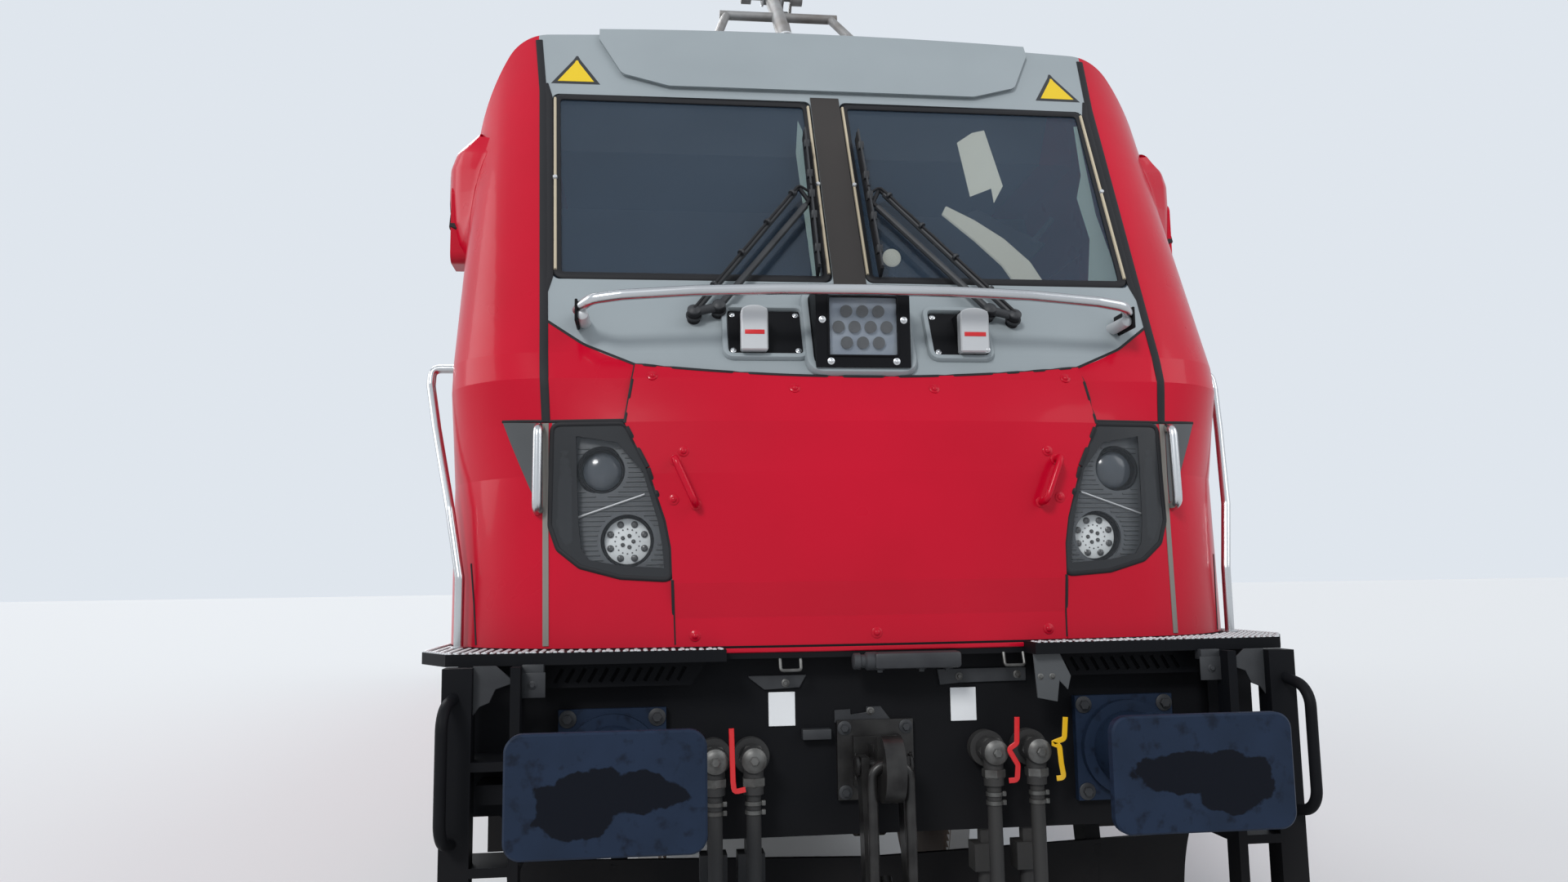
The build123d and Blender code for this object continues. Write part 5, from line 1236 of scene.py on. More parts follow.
def buildRails(look):
    tubes, rings = newMeshes(2)
    radius, ring = look["radius"], look["ringRadius"]
    addTube(tubes, endPoints(look["corner"]), radius, look["bend"], 16)
    addTube(tubes, endPoints(look["lamp"]), radius, look["lampBend"], 16)
    low, high = look["doorSpan"]
    wall = bodyHalfWidth
    for depth in look["doorDepths"]:
        reach = look["doorReach"]
        upright = [(wall - 0.008, depth, low), (reach, depth, low), (reach, depth, high),
                   (wall - 0.008, depth, high)]
        addTube(tubes, endPoints(upright), radius, look["doorBend"], 16)
        for height in (low, high):
            addFoot(rings, atEnd(wall - 0.001, depth, height), rightWay, radius, ring)
    addFoot(rings, atEnd(wall - 0.001, *look["corner"][0][1:]), rightWay, radius, ring)
    addFoot(rings, atEnd(*look["corner"][-1]), upWay, radius, ring)
    addMirrors(tubes, rings)
    bib = look["bib"] + [(-x, depth, z) for x, depth, z in reversed(look["bib"][:-1])]
    addTube(tubes, endPoints(bib), look["bibRadius"], look["bibBend"], 18)
    for piece in makePiece("railTubes", tubes, "stainless", "rail_steel"):
        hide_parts("handrails")
    makePiece("railFeet", rings, "stainless", "rail_steel")


buildRails(railLook)
print("stage: rails")


# Sides: rubbers, locks, mirror fairings, and the covers and seals of the long walls
sideLook = {
    "window": [(1.190, 2.520), (1.970, 2.520), (1.970, 3.240), (1.474, 3.240)],
    "doorPane": [(2.270, 2.420), (2.680, 2.420), (2.680, 3.170), (2.270, 3.170)],
    "corner": 0.070, "rubberWidth": 0.034, "rubberRise": 0.007, "rubberSink": 0.021,
    "lockDepth": 2.205, "lockLow": 2.020, "lockHigh": 2.240, "lockHalf": 0.032, "gripLow": 2.060,
    "gripHigh": 2.200, "gripReach": 0.042, "gripRadius": 0.008, "keyHeight": 1.960,
    "scuff": (2.170, 2.780, 1.482, 1.560),
    "fairing": [(-0.030, 2.930), (0.070, 3.070), (0.098, 3.160), (0.109, 3.300), (0.108, 3.430),
                (0.080, 3.500), (-0.030, 3.590)],
    "fairingDepths": [(1.335, 0.02), (1.356, 0.14), (1.380, 0.34), (1.405, 0.55), (1.430, 0.71),
                      (1.460, 0.84), (1.500, 0.94), (1.545, 0.99), (1.590, 1.0), (1.640, 1.0)],
    "fairingBend": 0.075, "fairingMiddle": 3.25, "housingDepth": 1.360,
    "edgeDepths": (1.560, 1.644), "mirrorDepth": 1.6415, "mirrorShare": 0.86,
    "wallHalf": 6.500, "grooves": (-2.1667, 2.1667), "eaves": 3.360, "skirt": 1.640,
    "covers": (-5.4, -3.4, -1.2, 1.2, 3.4, 5.4), "coverHalf": 0.210, "coverLow": 1.492, "coverHigh": 1.606,
}


def onSide(skin, depth, height):
    place, normal, _, _ = skin.ray_cast(atEnd(3, depth, height), -rightWay)
    return place, normal


def fairingRing(look, depth, share, grow=0.0):
    # The fairing's section follows the cab's side, and keeps its last offset over the window's opening
    middle, flank = look["fairingMiddle"], bodyHalfWidth
    ring = []
    section = [Vector((reach, 0, z)) for reach, z in look["fairing"]]
    for point in roundedPath(section, look["fairingBend"], 4):
        out = point.x * share + grow if point.x > 0 else point.x
        height = middle + (point.z - middle) * (0.75 + 0.25 * share)
        place = onSide(sideSkin, depth, height)[0]
        if place and depth < look["housingDepth"]:
            flank = min(place.x, bodyHalfWidth)
        ring.append(atEnd(flank + out, depth, height))
    return ring


def buildSides(look):
    rubber, fairing, edges, panes = newMeshes(4)
    line = skinLine(sideSkin, look["window"], 0.04, loop=True, bend=look["corner"], find=onSide)
    addStrip(rubber, line, look["rubberWidth"], look["rubberRise"], look["rubberSink"], loop=True)
    addRings(fairing, [fairingRing(look, depth, share) for depth, share in look["fairingDepths"]])
    first, last = look["edgeDepths"]
    steps = ((first, -0.001), (first + 0.004, 0.0055), (last - 0.003, 0.006), (last, 0.003))
    addRings(edges, [fairingRing(look, depth, 1, grow) for depth, grow in steps])
    middle, share = look["fairingMiddle"], look["mirrorShare"]
    glass = [(reach - 0.012, middle + (z - middle) * share) for reach, z in look["fairing"][1:-1]]
    glass = [(0.006, glass[0][1])] + glass + [(0.006, glass[-1][1])]
    addPlate(panes, glass, atEnd(bodyHalfWidth, look["mirrorDepth"] + 0.006, 0), 0.004, 0.001)
    addMirrors(rubber, fairing, edges, panes)
    makePieces([
        ("sideWindowRubber", rubber, "rubber", "hose_rubber"),
        ("mirrorFairings", fairing, "crimson", "crimson_paint"),
        ("mirrorEdges", edges, "gloss", "hose_rubber"),
        ("mirrorPanes", panes, "tread", "rail_steel"),
    ])


def buildDoors(look):
    wall = bodyHalfWidth
    for side in ("right", "left"):
        rubber, metal = newMeshes(2)
        line = skinLine(sideSkin, look["doorPane"], 0.04, loop=True, bend=look["corner"], find=onSide)
        addStrip(rubber, line, look["rubberWidth"], look["rubberRise"], look["rubberSink"], loop=True)
        depth, half = look["lockDepth"], look["lockHalf"]
        lock = (look["lockLow"], look["lockHigh"])
        addBox(metal, endPlace, (wall - 0.002, wall + 0.004), (depth - half, depth + half), lock, 0.002)
        low, high, reach = look["gripLow"], look["gripHigh"], look["gripReach"]
        grip = [(wall, depth, high), (wall + reach, depth, high), (wall + reach, depth, low),
                (wall, depth, low)]
        addTube(metal, endPoints(grip), look["gripRadius"], 0.018, 12)
        addRevolve(metal, atEnd(wall - 0.001, depth, look["keyHeight"]), rightWay,
                   [(0, 0.022), (0.004, 0.022), (0.007, 0.018), (0.007, 0.009), (0.012, 0.008)], 24)
        near, far, low, high = look["scuff"]
        addBox(metal, endPlace, (wall - 0.001, wall + 0.002), (near, far), (low, high), 0.0008)
        for bm in (rubber, metal):
            if side == "left":
                bmesh.ops.scale(bm, vec=(-1, 1, 1), verts=bm.verts)
        makePiece("doorRubber_" + side, rubber, "rubber", "hose_rubber", body="cab_door_{end}_" + side)
        makePiece("doorLock_" + side, metal, "stainless", "rail_steel", body="cab_door_{end}_" + side)


def buildWalls(look):
    seals, trim, covers, bolts = newMeshes(4)
    wall, half, eaves = bodyHalfWidth, look["wallHalf"], look["eaves"]
    middle, whole = middlePlace, (-half, half)
    for y in look["grooves"]:
        span = (deckTop + 0.01, eaves - 0.01)
        addBox(seals, middle, (wall - 0.008, wall - 0.002), (y - 0.005, y + 0.005), span, 0.001)
    for y in whole:
        addBox(seals, middle, (wall - 0.004, wall + 0.0015), (y - 0.004, y + 0.004), (deckTop, eaves), 0.001)
    skirt = look["skirt"]
    addBox(seals, middle, (wall - 0.008, wall - 0.003), whole, (skirt - 0.004, skirt + 0.004), 0.001)
    addBox(seals, middle, (wall - 0.006, wall + 0.003), whole, (deckTop - 0.004, deckTop + 0.006), 0.002)
    addBox(trim, middle, (wall - 0.004, wall + 0.014), whole, (eaves - 0.008, eaves + 0.004), 0.004)
    for y in look["covers"]:
        reach, low, high = look["coverHalf"], look["coverLow"], look["coverHigh"]
        addBox(covers, middle, (wall - 0.002, wall + 0.004), (y - reach, y + reach), (low, high), 0.002)
        for a in (-reach + 0.022, 0, reach - 0.022):
            for z in (low + 0.020, high - 0.020):
                addBolt(bolts, Vector((wall + 0.004, y + a, z)), rightWay, 0.0065, dome=True)
    addMirrors(seals, trim, covers, bolts)
    makePieces([
        ("wallSeals", seals, "rubber", "hose_rubber"),
        ("rainRails", trim, "crimson", "crimson_paint"),
        ("skirtCovers", covers, "crimson", "crimson_paint"),
        ("skirtCoverBolts", bolts, "alloy", "rail_steel"),
    ], bothEnds=False)


buildSides(sideLook)
buildDoors(sideLook)
buildWalls(sideLook)
print("stage: sides")


# Cab interior: screens, levers and lamps on the desk, and what shows behind the panes
cabLook = {
    "screens": (-0.205, 0, 0.205), "screenBase": (1.215, 2.492), "screenLean": -0.80,
    "leverPlaces": [(-0.62, 1.42, 2.352), (-0.50, 1.42, 2.352), (0.44, 1.42, 2.352), (0.56, 1.42, 2.352)],
    "leverHeight": 0.12, "rearDoor": (-0.33, 0.33, 1.50, 3.35), "backWall": 2.890,
    "sheet": [(0.564, 1.299, 3.539), (0.641, 1.331, 3.599), (0.699, 1.340, 3.616), (0.718, 1.172, 3.304),
              (0.665, 1.164, 3.289), (0.565, 1.138, 3.242)],
    "curl": [(0.665, 1.164, 3.289), (0.660, 1.121, 3.211), (0.718, 1.172, 3.304)],
    "arm": [(0.480, 3.223), (0.462, 3.187), (0.600, 3.075), (0.713, 2.971), (0.765, 2.895), (0.894, 2.896),
            (0.834, 2.990), (0.725, 3.087), (0.600, 3.165)],
    "armDepth": 1.220,
    "box": [(0.586, 3.219), (0.640, 3.242), (0.938, 3.095), (0.852, 3.012), (0.742, 3.102)],
    "boxDepth": 1.290, "liningDepth": 1.375,
    "linings": ([(1.120, 3.660), (1.143, 3.436), (1.119, 3.331), (1.169, 3.147), (1.152, 2.946),
                 (1.300, 2.945), (1.201, 3.259), (1.135, 3.661)],
                [(-0.128, 3.500), (-0.118, 3.645), (-0.098, 3.600), (-0.030, 2.940), (-0.064, 2.939)]),
    "roundLamp": (0.201, 1.020, 2.940), "roundLampRadius": 0.037,
}


def buildCab(look):
    screens, frames, levers, knobs = newMeshes(4)
    pale, dark, sheet, lining = newMeshes(4)
    depth, z = look["screenBase"]
    turn = Matrix.Rotation(look["screenLean"], 4, "X")
    for x in look["screens"]:
        low, high = atEnd(x - 0.095, depth, z - 0.075), atEnd(x + 0.095, depth + 0.020, z + 0.075)
        addBlock(frames, low, high, 0.005, turn)
        low, high = low + Vector((0.012, 0.004, 0.012)), high + Vector((-0.012, 0.006, -0.012))
        addBlock(screens, low, high, 0.001, turn)
    for x, leverDepth, base in look["leverPlaces"]:
        foot = atEnd(x, leverDepth, base - 0.02)
        tip = atEnd(x, leverDepth - 0.03, base + look["leverHeight"])
        addRod(levers, foot, tip, 0.007, 0.001, 10)
        addRevolve(knobs, tip, tip - foot,
                   [(-0.03, 0.012), (-0.02, 0.020), (0.01, 0.020), (0.022, 0.010), (0.025, 0)], 16)
        addRevolve(knobs, atEnd(x, leverDepth, base - 0.03), upWay,
                   [(0, 0.040), (0.016, 0.040), (0.022, 0.030)], 20)
    x0, x1, z0, z1 = look["rearDoor"]
    back = look["backWall"]
    addBox(pale, endPlace, (x0, x1), (back - 0.012, back + 0.004), (z0, z1), 0.005)
    knob = atEnd(x1 - 0.06, back, 2.35)
    addRod(levers, knob + frontWay * 0.012, knob + frontWay * 0.060, 0.010, 0.002, 12)
    # The arm and the sheet take the glowing paper, painted light; the round lamp further down shares that
    # paint
    addPlate(sheet, look["arm"], atEnd(0, look["armDepth"], 0), 0.016, 0.003)
    addPlate(dark, look["box"], atEnd(0, look["boxDepth"] + 0.04, 0), 0.040, 0.004)
    addRod(dark, atEnd(0.80, 1.08, 3.03), atEnd(0.92, 1.16, 3.16), 0.012, 0.002, 10)
    for label in ("sheet", "curl"):
        corners = endPoints(look[label])
        addRings(sheet, [corners, [point + Vector((0, 0.0015, 0)) for point in corners]])
    # The linings take the glowing mint: painted daylight over their pale colour
    for outline in look["linings"]:
        addPlate(lining, outline, atEnd(0, look["liningDepth"], 0), 0.006, 0.001)
    spot = atEnd(*look["roundLamp"])
    radius = look["roundLampRadius"]
    addRevolve(sheet, spot, frontWay,
               [(-0.02, radius * 0.8), (0, radius), (0.010, radius * 0.9), (0.018, radius * 0.5),
                (0.020, 0)], 24)
    addRing(dark, spot - frontWay * 0.012, frontWay, radius, radius + 0.008, 0.008, 24)
    addRod(dark, spot + Vector((0, 0.014, -radius)), spot + Vector((0, 0.02, -0.30)), 0.014, 0.002, 12)
    makePieces([
        ("deskScreens", screens, "screen", "cab_plastic"),
        ("deskScreenFrames", frames, "darkMetal", "cab_plastic"),
        ("deskLevers", levers, "stainless", "cab_plastic"),
        ("deskKnobs", knobs, "gloss", "cab_plastic"),
        ("cabFurniture", pale, "plasticLight", "cab_plastic"),
        ("cabDarkFittings", dark, "darkMetal", "cab_plastic"),
        ("blankSheetAndArmPaintedLight", sheet, "paper", "cab_plastic"),
        ("cabLiningsPaintedLight", lining, "mint", "cab_plastic"),
    ])


def seatFace(x, depth, z, normal):
    # The cushion and the back of either seat
    return 1.66 < depth < 2.40 and abs(abs(x) - 0.48) < 0.25 and (1.85 < z < 1.98 or z > 2.0)


paintFaces("cab_interiors", "seatCloth", seatFace)
paintBox("cab_interiors", "plasticLight", (-1, 4), (2.85, halfLength), (0, 9))
buildCab(cabLook)
print("stage: cab interior")


# Roof: glazed insulators, hatches, frames round the louvres, braids and horns
roofLook = {
    "floor": 3.800, "posts": (-2.600, -1.500, 1.500, 2.600), "postX": -0.500, "lineHeight": 4.130,
    "poleX": 0.050,
    "longBraid": [(2.69, 4.130), (3.8, 3.99), (5.0, 4.02), (5.76, 4.135)],
    "poles": (-0.250, 0.250), "poleLow": 3.930, "poleHigh": 4.220, "glazeRadius": 0.088,
    "hatches": [(-5.6, -4.2, 0.75), (-3.9, -2.9, 0.95), (3.0, 5.6, 0.75)], "hatchHeight": 0.030,
    "lidEdge": 0.09, "lidRise": 0.012, "lidBoltPitch": 0.28, "lidBoltEdge": 0.045, "lidBoltInset": 0.04,
    "eyeInset": 0.16, "eye": [(-0.03, 0), (-0.03, 0.06), (0.03, 0.06), (0.03, 0)],
    "hornPlaces": [(-0.62, 2.60, 3.86), (-0.50, 2.60, 3.86)], "louvreBolts": 7,
    "hornShape": [(0, 0.020), (0.10, 0.028), (0.17, 0.048), (0.20, 0.070), (0.195, 0.060), (0.10, 0.016),
                  (0.05, 0)],
    "walk": (0.72, 1.02), "walkSpan": (-2.4, 2.4), "slats": 60,
    "louvreMiddles": (-5.4133, -3.2533, -1.08, 1.08, 3.2533, 5.4133), "louvreHalf": 0.925,
    "slopeLow": (1.4885, 3.420), "slopeHigh": (1.180, 3.800), "louvreReach": 0.178,
    "baseX": (-0.520, 0.520), "baseDepths": (2.250, 3.690), "baseTop": 4.110,
}


def glazed(points, low, high, radius):
    # Whether a face belongs to one of the insulators that stand at these places
    def test(x, depth, z, normal):
        y = halfLength - depth
        return low < z < high and any(hypot(x - px, y - abs(py)) < radius for px, py in points)
    return test


def louvreSlotPaintedShade(x, depth, z, normal):
    # A face of the louvres that lies off the roof's slope; it is painted black as painted shade in the slots
    return 3.43 < z < 3.79 and abs(abs(normal[0]) * 0.776 + normal[2] * 0.630) < 0.93


def addInsulatorEnds(bm, place, low, high, radius):
    foot = Vector((place[0], place[1], low))
    addRevolve(bm, foot, upWay,
               [(0, radius + 0.045), (0.012, radius + 0.045), (0.016, radius + 0.020),
                (0.040, radius + 0.012)], 24)
    for spot in circleOf(foot + upWay * 0.012, rightWay, -frontWay, radius + 0.030, 4, 0.5):
        addBolt(bm, spot, upWay, 0.008)
    addRevolve(bm, Vector((place[0], place[1], high)), -upWay,
               [(0, radius + 0.016), (0.030, radius + 0.016), (0.036, radius)], 24)


def buildRoof(look):
    ends, lids, bolts, frames = newMeshes(4)
    braids, walks, horns = newMeshes(3)
    floor, line = look["floor"], look["lineHeight"]
    for y in look["posts"]:
        addInsulatorEnds(ends, (look["postX"], y), floor, line - 0.016, 0.045)
        addBox(ends, Vector((look["postX"], y, line)), (-0.030, 0.030), (-0.020, 0.020), (-0.022, 0.022),
               0.006)
    for y in look["poles"]:
        addInsulatorEnds(ends, (look["poleX"], y), look["poleLow"], look["poleHigh"] - 0.030, 0.060)
    start = Vector((look["postX"], look["poles"][0], line))
    middle = Vector((look["poleX"], look["poles"][0], look["poleHigh"]))
    for k in (0, 1):
        side = Vector((0, k * (look["poles"][1] - look["poles"][0]), 0))
        sag = [start + side, start + side + Vector((0.12, 0, 0.010)),
               middle + side + Vector((-0.20, 0, -0.02)), middle + side]
        addTube(braids, sag, 0.012, 0.12, 10)
    for sign in (-1, 1):
        sag = [Vector((look["postX"], sign * y, z)) for y, z in look["longBraid"]]
        addTube(braids, sag, 0.012, 0.5, 10)

    for y0, y1, half in look["hatches"]:
        top = floor + look["hatchHeight"]
        rise, inset = look["lidRise"], look["eyeInset"]
        for edge, low, high in ((0, floor - 0.004, top), (look["lidEdge"], top - 0.004, top + rise)):
            addBox(lids, middlePlace, (edge - half, half - edge), (y0 + edge, y1 - edge), (low, high), 0.008)
        count = round((y1 - y0) / look["lidBoltPitch"])
        first, last, reach = y0 + look["lidBoltEdge"], y1 - look["lidBoltEdge"], half - look["lidBoltInset"]
        for k in range(count):
            for x in (-reach, reach):
                addBolt(bolts, Vector((x, first + (last - first) * k / (count - 1), top)), upWay, 0.010)
        for x in (-half + inset, half - inset):
            for y in (y0 + inset, y1 - inset):
                eye = [Vector((x + a, y, top + rise + b)) for a, b in look["eye"]]
                addTube(bolts, eye, 0.008, 0.025, 8)

    near, far = look["walk"]
    low, high = look["walkSpan"]
    for k in range(look["slats"]):
        y = low + (high - low) * (k + 0.5) / look["slats"]
        addBox(walks, middlePlace, (near, far), (y - 0.020, y + 0.020), (floor - 0.002, floor + 0.030),
               0.003)
    for x in (near, far):
        addBox(walks, middlePlace, (x - 0.008, x + 0.008), (low, high), (floor - 0.002, floor + 0.036),
               0.003)

    foot, head = (Vector((x, 0, z)) for x, z in (look["slopeLow"], look["slopeHigh"]))
    slope = (head - foot).normalized()
    outward = Vector((slope.z, 0, -slope.x))
    middle = (foot + head) / 2
    reach = look["louvreReach"]
    for y in look["louvreMiddles"]:
        half = look["louvreHalf"]
        ring = [(half, -reach), (half, reach), (-half, reach), (-half, -reach)]
        edge = []
        for start, end in zip(ring, ring[1:] + ring[:1]):
            for share in (0.02, 0.5, 0.98):
                a, b = between(start, end, share)
                edge.append((middle + slope * b + Vector((0, y + a, 0)), outward))
        addStrip(frames, edge, 0.026, 0.009, loop=True)
        for k in range(look["louvreBolts"]):
            a = -half + 2 * half * k / (look["louvreBolts"] - 1)
            for b in (-reach, reach):
                spot = middle + slope * b + Vector((0, y + a, 0)) + outward * 0.008
                addBolt(bolts, spot, outward, 0.005, dome=True)
    addMirrors(walks, frames)
    makePieces([
        ("insulatorEnds", ends, "alloy", "pantograph_metal"),
        ("roofHatches", lids, "roofGrey", "roof_paint"),
        ("roofBolts", bolts, "darkMetal", "roof_paint"),
        ("louvreFrames", frames, "roofGrey", "roof_paint"),
        ("copperBraids", braids, "copper", "pantograph_metal"),
        ("roofWalks", walks, "greyPlate", "roof_paint"),
    ], bothEnds=False)

    base = bmesh.new()
    for x in look["baseX"]:
        for depth in look["baseDepths"]:
            addInsulatorEnds(base, (x, depth - halfLength), floor, look["baseTop"], 0.050)
    makePiece("baseInsulatorEnds", base, "alloy", "pantograph_metal")
    for place in (atEnd(*spot) for spot in look["hornPlaces"]):
        addRod(horns, place - frontWay * 0.26, place, 0.018, 0.003, 16)
        addRevolve(horns, place, frontWay, look["hornShape"], 28)
        addBox(horns, place, (-0.02, 0.02), (0.10, 0.16), (-0.066, 0), 0.003)
    makePiece("horns", horns, "alloy", "pantograph_metal")


def buildPantographs(look):
    # Tension springs, carbon carriers and pins of both pantographs, whose arms stand at different angles
    springs = bmesh.new()
    for x in look["coils"]:
        start = atEnd(x, look["shaftDepth"] + 0.10, look["baseTop"] + 0.034)
        coil = []
        for k in range(look["coilSteps"] + 1):
            turn = 2 * pi * k / 10
            along = look["coilLength"] * k / look["coilSteps"]
            coil.append(start + Vector((cos(turn) * look["coilRadius"], along,
                                        sin(turn) * look["coilRadius"])))
        addTube(springs, coil, look["coilWire"], sides=6)
        for end in (start + frontWay * 0.10, start - frontWay * look["coilLength"]):
            addRod(springs, end, end - frontWay * 0.10, 0.008, 0.001, 8)
            addBox(springs, end, (-0.012, 0.012), (0.03, 0.06), (-0.040, 0.012), 0.002)
    makePiece("baseSprings", springs, "alloy", "pantograph_metal")
    for end, raised in (("front", True), ("rear", False)):
        lower, upper = look["raised"] if raised else look["folded"]
        knee = Vector((0, cos(lower), sin(lower))) * look["lowerLength"]
        head = knee + Vector((0, -cos(upper), sin(upper))) * look["upperLength"]
        shaft = atEnd(0, look["shaftDepth"], look["shaftHeight"])
        collars, tops, carriers = newMeshes(3)
        for x in look["kneeCollars"]:
            addRing(collars, shaft + knee + rightWay * x, rightWay, 0.046, 0.056, 0.012, 24)
        for share in look["armBands"]:
            addRing(collars, shaft + knee * share, knee, 0.0425, 0.050, 0.03, 24)
        for x in look["shaftBolts"]:
            addBolt(collars, shaft + rightWay * x + frontWay * 0.034, frontWay, 0.009)
        for depth in look["strips"]:
            place = shaft + head - frontWay * depth
            addBox(carriers, place, (-0.515, 0.515), (-0.022, 0.022), (0.090, 0.112), 0.003)
            addBox(tops, place, (-0.500, 0.500), (-0.0195, 0.0195), (0.108, 0.129), 0.004)
            for x in look["stripBolts"]:
                addBolt(carriers, place + Vector((x, -0.022, 0.101)), frontWay, 0.006)
        rear = not raised
        for name, bm, paint, body in (("kneeCollars", collars, "alloy", "pantograph_lower_arm_"),
                                      ("stripCarriers", carriers, "alloy", "pantograph_head_"),
                                      ("carbonStrips", tops, "carbon", "pantograph_head_")):
            makePiece(f"{name}_{end}", bm, paint, "pantograph_metal", body=body + end, bothEnds=False,
                      turned=rear)


pantographLook = {
    "shaftDepth": 2.250, "shaftHeight": 4.300, "baseTop": 4.170, "lowerLength": 1.450, "upperLength": 1.620,
    "coils": (-0.205, 0.245), "coilLength": 0.46, "coilSteps": 260, "coilRadius": 0.024, "coilWire": 0.0055,
    "kneeCollars": (-0.062, 0.050), "armBands": (0.12, 0.34), "shaftBolts": (-0.35, -0.15, 0.15, 0.35),
    "strips": (-0.190, 0.190), "stripBolts": (-0.40, -0.13, 0.13, 0.40),
    "raised": (radians(42.0), radians(40.7)), "folded": (radians(3.0), radians(9.4)),
}
for label, low, high in (("post", 3.81, 4.105), ("pole", 3.94, 4.18)):
    places = [(roofLook[label + "X"], y) for y in roofLook[label + "s"]]
    paintFaces("roof_gear", "insulator", glazed(places, low, high, roofLook["glazeRadius"]))
# Painted shade: the inner faces of the louvre slots get black rubber
paintFaces("roof_sections", "rubber", louvreSlotPaintedShade)
paintFaces("roof_gear", "copper", lambda x, depth, z, normal: abs(x + 0.5) < 0.02 and 4.11 < z < 4.15)
places = [(x, halfLength - depth) for x in roofLook["baseX"] for depth in roofLook["baseDepths"]]
for name in ("pantograph_base_front", "pantograph_base_rear"):
    paintFaces(name, "insulator", glazed(places, 3.81, 4.10, roofLook["glazeRadius"]))
buildRoof(roofLook)
buildPantographs(pantographLook)
print("stage: roof")


# Bogies: wound springs, axle box covers, dampers, sand pipes and brake discs
bogieLook = {
    "middle": 5.220, "axle": 1.300, "axleHeight": 0.655, "springX": 1.055,
    "secondary": {"offsets": (-0.330, 0.330), "low": 0.900, "high": 1.340, "radius": 0.095, "wire": 0.019,
                  "turns": 8},
    "primary": {"offsets": (-1.540, -1.060, 1.060, 1.540), "low": 0.600, "high": 0.870, "radius": 0.070,
                "wire": 0.014, "turns": 5},
    "capX": 1.205, "capRing": 0.072, "capBolts": 6,
    "cable": [(0.020, 0, 0.046), (0.022, 0, 0.17), (-0.06, 0.10, 0.28)],
    "hopper": (0.86, 1.74, 0.86),
    "sandPipe": [(0, 0, 0), (-0.08, 0.02, -0.30), (-0.10, -0.10, -0.60), (-0.10, -0.20, -0.74)],
    "damper": (1.165, 1.70, 0.600), "damperLength": 0.30,
    "discX": 0.752, "discInner": 0.300, "discOuter": 0.500, "discBolts": 12, "boltRing": 0.335,
    "treadRadius": 0.600, "treadX": (0.69, 0.83),
}


def addCoil(bm, foot, height, radius, wire, turns, sides=8, steps=14):
    # Wound wire with flat end turns
    middle = radius - wire
    rise = height - 2 * wire
    path = []
    for k in range(turns * steps + 1):
        share = k / (turns * steps)
        flat = min(max((share * turns - 0.75) / (turns - 1.5), 0), 1)
        turn = 2 * pi * k / steps
        path.append(foot + Vector((cos(turn) * middle, sin(turn) * middle, wire + rise * flat)))
    addTube(bm, path, wire, sides=sides)


